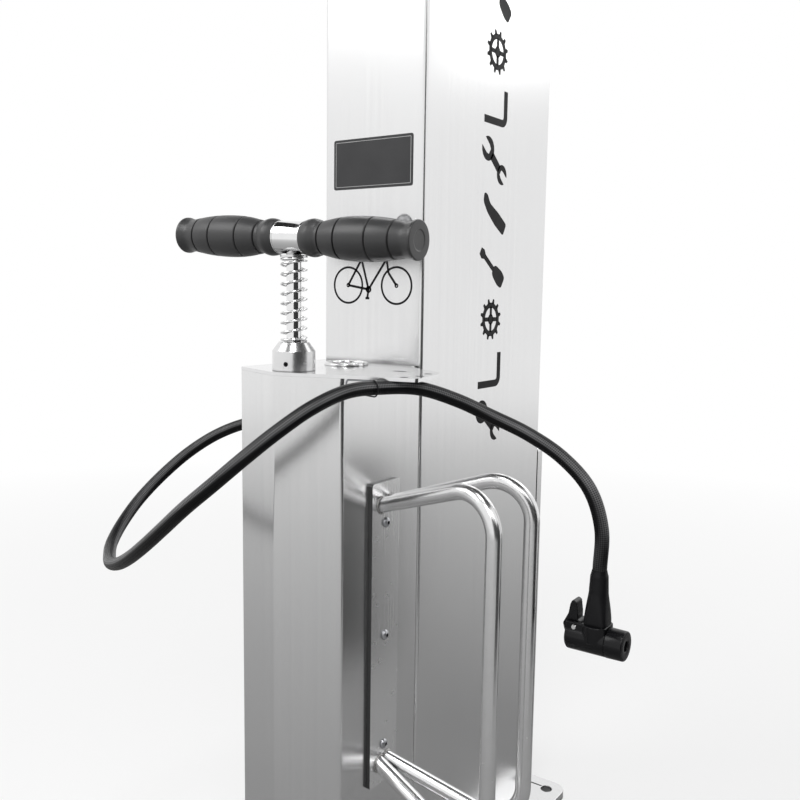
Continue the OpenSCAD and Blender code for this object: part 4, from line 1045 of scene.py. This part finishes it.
@dataclass
class PumpHandle(Assembly):
    """The T-handle on the rod: a polished hub and two swelling rubber grips."""

    centre: Triple = (0.0, -179 * MM, 681.93 * MM)
    tilt_deg: float = 2.0
    yaw_deg: float = 3.0
    hub_length: float = 30.5 * MM
    hub_radius: float = 14.5 * MM
    bore: float = 9.05 * MM
    grip_length: float = 112.3 * MM
    outline: tuple[Pair, ...] = (
        (0.3, 14.7), (4, 15.9), (8.5, 16.4), (13, 15.4), (16.5, 14.2), (22, 15.1), (34, 17.3), (46, 18.5), (57, 18.8),
        (69, 18.5), (81, 17.6), (93, 16.0), (102, 14.8), (106.5, 15.5), (110, 16.4),
    )
    curve_steps: int = 30
    groove_at: tuple[float, ...] = (0.170, 0.340, 0.619, 0.809)
    groove_width: float = 1.4 * MM
    groove_depth: float = 1.7 * MM
    dish_radius: float = 9 * MM
    dish_depth: float = 0.5 * MM
    lip_width: float = 1.6 * MM
    lip_height: float = 0.35 * MM
    sides: int = 96

    def along(self, side: int) -> Array:
        """The direction from the hub to one end, drooping towards +X and turned about the rod."""
        a, b = math.radians(self.tilt_deg), math.radians(self.yaw_deg)
        return side * np.array([math.cos(a) * math.cos(b), math.cos(a) * math.sin(b), -math.sin(a)])

    def grip_profile(self) -> Array:
        """Height and radius along a grip.

        A smooth curve runs through the outline's points: a bulge beside the hub, a neck, the
        swelling body, a second neck and a flange. Each groove takes a bell of its width and
        depth away, and the end is rounded and dished.

        Returns:
            Rows of height and radius.
        """
        spots = np.array([(*point, 0.0) for point in self.outline]) * MM
        s, r = through(spots, self.curve_steps)[:, :2].T
        for share in self.groove_at:
            off = (s - share * self.grip_length - self.groove_width / 2) / (self.groove_width / 2)
            r = r - self.groove_depth * np.exp(-np.abs(off) ** 4)
        length, dish = self.grip_length, self.grip_length - self.dish_depth
        end = rounded(np.array([
            [s[-1], r[-1]], [length, r[-1]], [length, self.dish_radius], [dish, self.dish_radius - MM], [dish, 0],
        ]), [0, 1.8 * MM, 0.3 * MM, 0.3 * MM, 0], 6)[1:]
        return np.vstack([[0, self.bore], [0, self.outline[0][1] * MM], np.stack([s, r], -1), end])

    def grip(self, side: int, word: str) -> None:
        """Builds one grip.

        Args:
            side: -1 for the grip at -X, 1 for the one at +X.
            word: Name of that side.
        """
        origin = np.array(self.centre) + self.along(side) * self.hub_length / 2
        piece = skin(f"hand_grip_{word}", turned_grid(self.grip_profile(), origin, self.along(side), self.sides), 50)
        self.placed(piece, "grip_rubber", Slot.GRIP_RUBBER, f"grip_{word}", body=Body.HANDLE)

    def hub(self) -> None:
        """Builds the hub: a turned sleeve with a small radius on its rims and a shallow lip beside each grip."""
        half, r = self.hub_length / 2, self.hub_radius
        inner, low = half - self.lip_width, r - self.lip_height
        outline = rounded(np.array([
            [-half, self.bore], [-half, r], [-inner, r], [-inner, low], [inner, low], [inner, r], [half, r],
            [half, self.bore],
        ]), [0, 0.9 * MM, 0.3 * MM, 0.3 * MM, 0.3 * MM, 0.3 * MM, 0.9 * MM, 0])
        grid = turned_grid(outline, np.array(self.centre), self.along(1), self.sides)
        piece = skin("hub_sleeve", grid, 40, looped=True)
        self.placed(piece, "polished_steel", Slot.POLISHED_STEEL, "handle_hub", body=Body.HANDLE)

    def build(self) -> None:
        """Builds the hub and both grips."""
        self.hub()
        self.grip(-1, "left")
        self.grip(1, "right")


@dataclass
class ReturnSpring(Assembly):
    """The spring between the cap and the handle."""

    axis: Pair = (0.0, -179 * MM)
    foot: float = 591 * MM
    length: float = 73.8 * MM
    radius: float = 11.05 * MM
    wire: float = 1.9 * MM
    turns: int = 8
    closed_gap: float = 0.1 * MM
    travel: float = 40 * MM
    steps_per_turn: int = 28

    def build(self) -> None:
        """Builds the spring.

        The wire's centre is a helix whose rise is steep over the open turns and a wire's
        width on the closed turn at each end.
        """
        t = np.linspace(0, self.turns + 2, self.steps_per_turn * (self.turns + 2) + 1)
        closed = self.wire + self.closed_gap
        free = self.length - self.wire - 2 * closed
        rise = np.interp(t, [0, 1, self.turns + 1, self.turns + 2], [0, closed, closed + free, 2 * closed + free])
        path = np.stack([
            self.axis[0] + self.radius * np.cos(TAU * t), self.axis[1] + self.radius * np.sin(TAU * t),
            self.foot + self.wire / 2 + rise,
        ], -1)
        piece = skin("return_spring", tube_grid(path, self.wire / 2, 12), 50)
        self.placed(piece, "polished_steel", Slot.POLISHED_STEEL, "spring")
        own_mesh(piece)


@dataclass
class WheelHolder(Assembly):
    """The two bent rails that hold a wheel's tyre, and the welds at their feet."""

    plate_x: float = 64 * MM
    middle: Pair = (-125 * MM, 319.5 * MM)
    rail: float = 14 * MM
    gap: float = 12.4 * MM
    feet_dz: float = 249 * MM
    reach: float = 130.5 * MM
    splay_deg: float = 11.8
    rise_deg: float = 17.5
    bend: float = 33 * MM
    bend_steps: int = 28
    weld_radius: float = 1.15 * MM
    weld_ripples: tuple[Pair, Pair] = ((0.16 * MM, 34), (0.12 * MM, 5))

    def corners(self, side: int) -> list[Array]:
        """Corners of a rail's centre line, from its upper foot to its lower one.

        Args:
            side: -1 for the front rail, 1 for the rear one.

        Returns:
            The corners.
        """
        splay, rise = math.radians(self.splay_deg), math.radians(self.rise_deg)
        u = self.reach / math.cos(splay)
        foot = self.feet_dz / 2
        corner = foot + u * math.tan(rise)
        y, z = self.middle
        flat = ((0, foot), (u, corner), (u, -corner), (0, -foot))
        return [
            np.array([self.plate_x + a * math.cos(splay), y + side * (self.gap / 2 + a * math.sin(splay)), z + b])
            for a, b in flat
        ]

    def flush(self, ring: Array, lean: Array) -> Array:
        """A ring of points slid along a rail's arm onto the plate's face."""
        return ring + (self.plate_x - ring[:, :1]) / lean[0] * lean

    def build(self) -> None:
        """Builds the rails, each end cut flush with the plate, and a weld round each foot."""
        for side, word in ((-1, "front"), (1, "rear")):
            top, upper, lower, bottom = self.corners(side)
            path = bent([top, upper, lower, bottom], self.bend, self.bend_steps)
            arms = np.linspace(path[0], path[1], 8)[:-1], np.linspace(path[-2], path[-1], 8)[1:]
            grid = tube_grid(np.vstack([arms[0], path[1:-1], arms[1]]), self.rail / 2, 40)
            feet = (("upper", 0, top, unit(upper - top)), ("lower", -1, bottom, unit(lower - bottom)))
            for _, end, _, lean in feet:
                grid[end] = self.flush(grid[end], lean)
            self.placed(skin(f"rail_{word}", grid, 50), "rail_steel", Slot.POLISHED_STEEL, f"holder_rail_{word}")
            for part, _, foot, lean in feet:
                self.weld(f"weld_{word}_{part}", foot, lean)

    def weld(self, name: str, foot: Array, lean: Array) -> None:
        """Builds the fillet of weld round a rail's foot.

        Its path is the ellipse where the rail meets the plate, and its section's radius
        ripples with the run of the weld.

        Args:
            name: Name of the piece.
            foot: Middle of the rail's foot.
            lean: Direction of the rail's arm.
        """
        a = np.linspace(0, TAU, 121)
        u = unit(np.cross(lean, UP))
        v = np.cross(lean, u)
        ring = foot + self.rail / 2 * (np.cos(a)[:, None] * u + np.sin(a)[:, None] * v)
        (fine, beads), (coarse, swells) = self.weld_ripples
        radius = self.weld_radius + fine * np.sin(beads * a) + coarse * np.sin(swells * a + foot[2] * 90)
        piece = skin(name, tube_grid(self.flush(ring, lean)[:-1], radius[:-1], 10), 60, looped=True)
        self.placed(piece, "weld_steel", Slot.POLISHED_STEEL)


@dataclass
class LidRing(Assembly):
    """The round-topped ring that stands on the lid."""

    centre: Triple = (-1 * MM, -103 * MM, 566 * MM)
    radius: float = 21 * MM
    wall: float = 4 * MM
    height: float = 3 * MM
    sides: int = 120

    def build(self) -> None:
        """Builds the ring: its section is a post whose top is a half circle of the wall's width."""
        middle, half = self.radius - self.wall / 2, self.wall / 2
        a = np.linspace(0, math.pi, 13)
        top = np.stack([self.height - half + half * np.sin(a), middle + half * np.cos(a)], -1)
        profile = np.vstack([[0, self.radius], top, [0, self.radius - self.wall]])
        piece = skin("lid_rim_ring", turned_grid(profile, np.array(self.centre), UP, self.sides), 40, looped=True)
        self.placed(piece, "lid_steel", Slot.POLISHED_STEEL, "lid_ring")


@dataclass
class Prints(Assembly):
    """The bare panel, the bicycle figure and the row of tool figures on the column."""

    front_y: float = -65 * MM
    side_x: float = 60 * MM
    film: float = 0.25 * MM
    ink: float = 0.15 * MM
    panel_box: tuple[float, float, float, float] = (-48.0, 735.5, 47.0, 783.6)
    border_inset: float = 2.6
    border_width: float = 0.5
    wheel_at: tuple[Pair, Pair] = ((-29.2, 642.0), (29.7, 642.0))
    wheel_radius: float = 17.6
    figure_y: float = 68.0
    figure_z: tuple[float, float, int] = (498.0, 55.0, 13)

    def front(self, raised: float = 0.0) -> Plane:
        """The column's front face, or a layer raised from it, in millimetres from the middle of the foot."""
        return Plane(np.array([0, self.front_y - raised, 0]), np.array([MM, 0, 0]), UP * MM, np.array([0, -1, 0]))

    def side(self, z: float) -> Plane:
        """The column's side face, measured in millimetres from a figure's middle."""
        origin = np.array([self.side_x, self.figure_y * MM, z * MM])
        return Plane(origin, np.array([0, MM, 0]), UP * MM, np.array([1, 0, 0]))

    def panel(self) -> None:
        """Builds the dark film with rounded corners and a thin pale line inside its edge."""
        x0, z0, x1, z1 = self.panel_box
        corners = np.array([[x0, z0], [x1, z0], [x1, z1], [x0, z1]])
        film = prisms("panel_film", [rounded(corners, 2.5, 4, True)], self.front(), self.film)
        self.placed(film, "panel_film", Slot.BLACK_PLASTIC)
        inset = corners + self.border_inset * np.array([[1, 1], [-1, 1], [-1, -1], [1, -1]])
        lines = [stroke(np.array([a, b]), self.border_width) for a, b in zip(inset, np.roll(inset, -1, 0))]
        border = prisms("panel_border", lines, self.front(self.film), 0.05 * MM)
        self.placed(border, "pale_ink", Slot.BLACK_PLASTIC)

    def bicycle(self) -> None:
        """Builds a plain line figure of a bicycle: two wheels, a frame, a fork, a saddle and handlebars."""
        (ax, az), (bx, bz) = self.wheel_at
        r = self.wheel_radius
        crank = (ax + 0.43 * (bx - ax), az - 4.0)
        seat = (ax + 0.28 * (bx - ax), az + 25.5)
        head = (bx - 12.0, az + 25.5)
        lines = [
            stroke(circle((x, z), radius, start, start + 180, 40), width)
            for x, z, radius, width in ((ax, az, r, 2.0), (bx, bz, r, 2.0), (ax, az, 1.6, 1.2), (bx, bz, 1.6, 1.2),
                                        (*crank, 2.6, 1.6))
            for start in (0, 180)
        ]
        runs = (
            ((ax, az), seat, crank, (ax, az)), (crank, head), (seat, head), (head, (head[0] + 2.5, az + 12), (bx, bz)),
            (seat, (seat[0] - 1.8, az + 31)), ((seat[0] - 7, az + 31.6), (seat[0] + 4, az + 31.0)),
            (head, (head[0] - 1.5, az + 31)), ((head[0] - 5.5, az + 31.5), (head[0] + 3, az + 33.5)),
            (crank, (crank[0] - 1.4, crank[1] - 8.2)),
            ((crank[0] - 3.6, crank[1] - 8.6), (crank[0] + 1, crank[1] - 8.6)),
        )
        lines += [stroke(np.array([p, q]), 2.3) for run in runs for p, q in zip(run, run[1:])]
        figure = prisms("bicycle_figure", lines, self.front(), self.ink)
        self.placed(figure, "black_ink", Slot.BLACK_PLASTIC)

    @staticmethod
    def turned(shapes: Sequence[Array], degrees: float) -> list[Array]:
        """Outlines turned anticlockwise about their figure's middle."""
        t = math.radians(degrees)
        return [shape @ np.array([[math.cos(t), math.sin(t)], [-math.sin(t), math.cos(t)]]) for shape in shapes]

    def spanner(self) -> list[Array]:
        """Outlines of an open-ended spanner: a jaw with a square mouth at each end of a bar.

        Returns:
            The outlines.
        """
        upper = np.vstack([circle((0, 18.5), 12.5, 116, 424, 30), [[5.4, 18.5], [3.6, 14], [-3.6, 14], [-5.4, 18.5]]])
        lower = np.vstack([circle((0, -20), 10.5, 296, 604, 26), [[-4.4, -20], [-3, -16], [3, -16], [4.4, -20]]])
        bar = np.array([[-4.6, -12], [4.6, -12], [4.6, 9], [-4.6, 9]])
        return self.turned((upper, lower, bar), 52)

    def screwdriver(self) -> list[Array]:
        """Outlines of a screwdriver: a swelling grip, a shaft and a flared tip.

        Returns:
            The outlines.
        """
        grip = rounded(np.array([[-7, -29], [7, -29], [9, -20], [7, -7], [4.4, -3], [-4.4, -3], [-7, -7], [-9, -20]]),
                       3.5, 4, True)
        shaft = np.array([[-2.8, -3.5], [2.8, -3.5], [2.8, 19], [5.6, 24], [4, 30], [-4, 30], [-5.6, 24], [-2.8, 19]])
        return self.turned((grip, shaft), 56)

    def hex_key(self) -> list[Array]:
        """Outline of a hex key: a long arm bent into a short one."""
        path = np.vstack([[[-24.0, -14.5]], circle((13.5, -7.5), 7.0, 270, 360, 10), [[20.5, 19.0]]])
        return [stroke(path, 7.6)]

    def tyre_lever(self) -> list[Array]:
        """Outline of a tyre lever: a tapered blade with a hooked tip.

        Returns:
            The outlines.
        """
        blade = rounded(np.array([[-7, -29], [7, -29], [7.6, -8], [6, 12], [11, 22], [9, 28], [0, 25], [-5, 12],
                                  [-7.6, -8]]), 3.5, 4, True)
        return self.turned((blade,), 60)

    def cog(self) -> list[Array]:
        """Outlines of a chain wheel: two half rings with twelve teeth, four spokes and a hub.

        Returns:
            The outlines.
        """
        rings = [stroke(circle((0, 0), 15.2, start, start + 180, 30), 5.4) for start in (0, 180)]
        tooth = np.array([[-2.6, 17], [2.6, 17], [1.3, 22], [-1.3, 22]])
        spoke = np.array([[-2.2, 4], [2.2, 4], [2.2, 13.5], [-2.2, 13.5]])
        teeth = [shape for k in range(12) for shape in self.turned((tooth,), 30 * k + 15)]
        spokes = [shape for k in range(4) for shape in self.turned((spoke,), 90 * k)]
        return [*rings, *teeth, *spokes, circle((0, 0), 5.6, 0, 345, 24)]

    def tools(self) -> None:
        """Builds the column of tool figures, one above another."""
        first, pitch, count = self.figure_z
        kinds = (self.spanner, self.hex_key, self.cog, self.screwdriver, self.tyre_lever)
        for k in range(count):
            made = prisms(f"tool_figure_{k + 1:02d}", kinds[k % len(kinds)](), self.side(first + k * pitch), self.ink)
            self.placed(made, "black_ink", Slot.BLACK_PLASTIC)

    def build(self) -> None:
        """Builds every print."""
        self.panel()
        self.bicycle()
        self.tools()


@dataclass
class PackedNodes(Assembly):
    """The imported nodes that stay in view, each in its slot's finish."""

    own_finish: dict[str, str] = field(default_factory=lambda: {
        "base_plate": "brushed_steel_flat", "column_cap": "brushed_steel_flat", "housing_lid": "lid_steel",
        "hanger_arms": "rail_steel", "pump_housing": "housing_steel", "holder_plate": "plate_steel",
        "dome_plug": "cast_steel", "cap_set_screw": "black_oxide", "hub_set_screw": "black_oxide",
        "holder_bolts": "zinc_steel",
    })
    soft_edges: dict[str, float] = field(default_factory=lambda: {
        "base_plate": 0.8 * MM, "column_cap": 0.6 * MM, "housing_lid": 0.5 * MM, "holder_plate": 0.25 * MM,
        "hanger_plate": 0.8 * MM, "pump_housing": 0.3 * MM, "rear_cover": 0.5 * MM, "barrel_cap": 0.4 * MM,
    })
    merge_distance: float = 1e-6
    bevel_deg: float = 38.0
    crisp_deg: float = 33.0

    def soften(self, node: bpy.types.Object, width: float, shading: bpy.types.NodeTree) -> None:
        """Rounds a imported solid's sharp edges and shades it evenly with modifiers, which leave its mesh alone.

        Args:
            node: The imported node.
            width: Width of the rounding, or nothing for none.
            shading: The group that shades it.
        """
        node.modifiers.new("merge", "WELD").merge_threshold = self.merge_distance
        if width:
            self.rounding(node, width)
        node.modifiers.new("shading", "NODES").node_group = shading
        node.modifiers.new("even", "WEIGHTED_NORMAL").keep_sharp = True

    def rounding(self, node: bpy.types.Object, width: float) -> None:
        """Adds a bevel to a node's sharp edges.

        Args:
            node: The node.
            width: Width of the bevel.
        """
        bevel = node.modifiers.new("edges", "BEVEL")
        bevel.width = width
        bevel.segments = 2
        bevel.limit_method = "ANGLE"
        bevel.angle_limit = math.radians(self.bevel_deg)
        bevel.harden_normals = False

    def build(self, frame: dict[str, object]) -> None:
        """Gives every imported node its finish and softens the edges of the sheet-metal ones.
        """
        shading = shading_group(self.crisp_deg)
        for row in frame["record"]["subparts"]:
            node = frame["nodes"][row["node"]]
            self.finishes.dress(node, self.own_finish.get(row["node"], row["material_slot"]))
            self.soften(node, self.soft_edges.get(row["node"], 0.0), shading)


# ------------------------------------------------------------------- stage and camera


def aimed(data: bpy.types.ID, right: Array, up: Array, back: Array, at: Triple) -> bpy.types.Object:
    """A new camera or lamp at a place, turned to three axes square to each other.

    Args:
        data: The camera or lamp.
        right: Its own X.
        up: Its own Y.
        back: Its own Z, away from the view.
        at: The place.

    Returns:
        The object.
    """
    made = linked(data.name, data)
    turn = np.eye(4)
    turn[:3] = np.stack([right, up, back, at], -1)
    made.matrix_world = Matrix(turn.tolist())
    return made


@dataclass
class Stage:
    """The pale floor, the lamps, the world and the camera.

    A card stands on the floor from one point to another and has a height and a grey. A
    lamp has a place, a point that it faces, a width and a power.
    """

    camera_at: Triple = (0.5222, -0.7635, 0.6381)
    azimuth_deg: float = 34.85
    pitch_deg: float = 7.14
    roll_deg: float = 0.82
    lens_mm: float = 39.6
    sensor_mm: float = 36.0
    floor_radius: float = 14.0
    floor_tone: float = 0.86
    bounce_tone: float = 0.30
    near_white: float = 0.55
    ambient: float = 0.50
    matt: float = 0.9
    shown_fade: Pair = (0.6, 2.4)
    mirrored_fade: Pair = (0.4, 4.2)
    cards: dict[str, tuple[Pair, Pair, float, float]] = field(default_factory=lambda: {
        "low_card": ((0.50, 0.22), (0.50, 0.48), 0.36, 0.01),
        "side_card": ((0.95, -0.38), (0.95, 0.22), 0.72, 0.04),
        "tall_card": ((1.70, -2.45), (2.55, -1.55), 2.4, 0.08),
        "middle_card": ((1.72, -1.62), (1.90, -0.45), 1.5, 0.05),
    })
    ceiling: float = 3.1
    ceiling_spots: tuple[Pair, ...] = ((-2.2, -2.0), (2.2, -2.0), (2.2, 2.2), (-2.2, 2.2))
    lamps: dict[str, tuple[Triple, Triple, float, float]] = field(default_factory=lambda: {
        "key": ((-1.4, -1.7, 2.4), (0, -0.1, 0.6), 1.5, 26),
        "top": ((0.35, -0.75, 2.7), (0, -0.1, 0.6), 0.5, 12),
        "front": ((1.55, -1.95, 2.65), (0, -0.1, 0.6), 1.2, 20),
        "fill": ((2.2, -0.8, 1.9), (0, 0, 0.6), 1.4, 5),
        "rim": ((0.6, 2.2, 2.2), (0, 0, 0.8), 1.6, 12),
    })

    def camera(self) -> None:
        """Places the camera by its azimuth, pitch and roll."""
        a, p, r = (math.radians(d) for d in (self.azimuth_deg, self.pitch_deg, self.roll_deg))
        forward = np.array([-math.sin(a) * math.cos(p), math.cos(a) * math.cos(p), -math.sin(p)])
        level = np.array([math.cos(a), math.sin(a), 0.0])
        raised = np.cross(level, forward)
        right = math.cos(r) * level + math.sin(r) * raised
        up = math.cos(r) * raised - math.sin(r) * level
        data = bpy.data.cameras.new("camera")
        data.lens, data.sensor_width = self.lens_mm, self.sensor_mm
        data.clip_start, data.clip_end = 0.01, 100
        bpy.context.scene.camera = aimed(data, right, up, -forward, self.camera_at)

    def world(self) -> None:
        """Lights the scene evenly, and shows plain white to the camera and in gloss and glass."""
        world = bpy.data.worlds.new("studio")
        bpy.context.scene.world = world
        world.use_nodes = True
        graph = Graph(world.node_tree)
        path = graph.add("ShaderNodeLightPath").outputs
        seen = graph.math("MAXIMUM", path["Is Camera Ray"], path["Is Glossy Ray"])
        seen = graph.math("MAXIMUM", seen, path["Is Transmission Ray"])
        strength = graph.ranged(seen, 0.0, 1.0, self.ambient)
        light = graph.add("ShaderNodeBackground", {"Color": (1, 1, 1, 1), "Strength": strength})
        graph.add("ShaderNodeOutputWorld", {0: light.outputs[0]})

    def floor(self) -> None:
        """Lays a round floor that fades to the white of the background with distance."""
        a = np.linspace(0, TAU, 96, endpoint=False)
        ring = np.stack([np.cos(a), np.sin(a), np.zeros_like(a)], -1) * self.floor_radius
        mesh = bpy.data.meshes.new("floor")
        mesh.from_pydata(ring.tolist(), [], [list(range(len(a)))])
        piece = linked("floor", mesh)
        graph = Surface("floor", grey(self.floor_tone), self.matt)
        at = graph.add("ShaderNodeTexCoord").outputs["Object"]
        far = graph.add("ShaderNodeVectorMath", {0: at}, operation="LENGTH").outputs["Value"]
        path = graph.add("ShaderNodeLightPath").outputs
        camera, gloss = path["Is Camera Ray"], path["Is Glossy Ray"]
        tone = graph.ranged(camera, 0.0, 1.0, self.bounce_tone, self.floor_tone)
        graph.tree.links.new(tone, graph.shader.inputs["Base Color"])
        shown = graph.math("MULTIPLY", graph.ranged(far, *self.shown_fade, self.near_white), camera)
        mirrored = graph.math("MULTIPLY", graph.ranged(far, *self.mirrored_fade), gloss)
        fade = graph.math("MAXIMUM", shown, mirrored)
        white = graph.add("ShaderNodeEmission", {"Color": (1, 1, 1, 1), "Strength": 1.0})
        mixed = graph.add("ShaderNodeMixShader", {0: fade, 1: graph.shader.outputs[0], 2: white.outputs[0]})
        graph.tree.links.new(mixed.outputs[0], graph.output.inputs[0])
        piece.data.materials.append(graph.material)

    def lamp(self, name: str, at: Triple, towards: Triple, size: float, power: float) -> None:
        """Adds a square soft lamp that faces a point.

        Args:
            name: Name of the lamp.
            at: Its place.
            towards: The point.
            size: Its width.
            power: Its power in watts.
        """
        data = bpy.data.lights.new(name, "AREA")
        data.size, data.energy = size, power
        back = unit(np.array(at) - np.array(towards))
        side = unit(np.cross(UP, back))
        aimed(data, side, np.cross(back, side), back, at)

    def card(self, name: str, spots: Sequence[Triple], tone: float) -> None:
        """Hangs a dark card round the station that only gloss can see, for the steel to mirror.

        Args:
            name: Name of the card.
            spots: Its four corners in order.
            tone: Its grey.
        """
        mesh = bpy.data.meshes.new(name)
        mesh.from_pydata(list(spots), [], [[0, 1, 2, 3]])
        piece = linked(name, mesh)
        piece.data.materials.append(Surface(name, grey(tone), self.matt).material)
        piece.visible_camera = piece.visible_shadow = piece.visible_diffuse = False

    def build(self) -> None:
        """Builds the stage."""
        self.world()
        self.floor()
        for name, (start, end, top, tone) in self.cards.items():
            self.card(name, [(*start, 0.0), (*end, 0.0), (*end, top), (*start, top)], tone)
        self.card("ceiling_card", [(x, y, self.ceiling) for x, y in self.ceiling_spots], 0.04)
        for name, row in self.lamps.items():
            self.lamp(name, *row)


def corners(bounds: tuple[Sequence[float], Sequence[float]]) -> list[list[float]]:
    return [[float(x) for x in corner] for corner in bounds]


def main() -> None:
    """Builds the finishes, the hose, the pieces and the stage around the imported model."""
    logging.basicConfig(level=logging.INFO, format="%(name)s: %(message)s")
    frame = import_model()
    bpy.context.scene.view_settings.view_transform = "Standard"
    finishes = Finishes()
    stage = Stage()
    stage.camera()
    AirHose(finishes).build(PumpHead(finishes).build(frame["nodes"]))
    for assembly in (HoseHook, PumpHandle, ReturnSpring, WheelHolder, LidRing, Prints):
        assembly(finishes).build()
    PackedNodes(finishes).build(frame)
    stage.build()


if __name__ == "__main__":
    main()
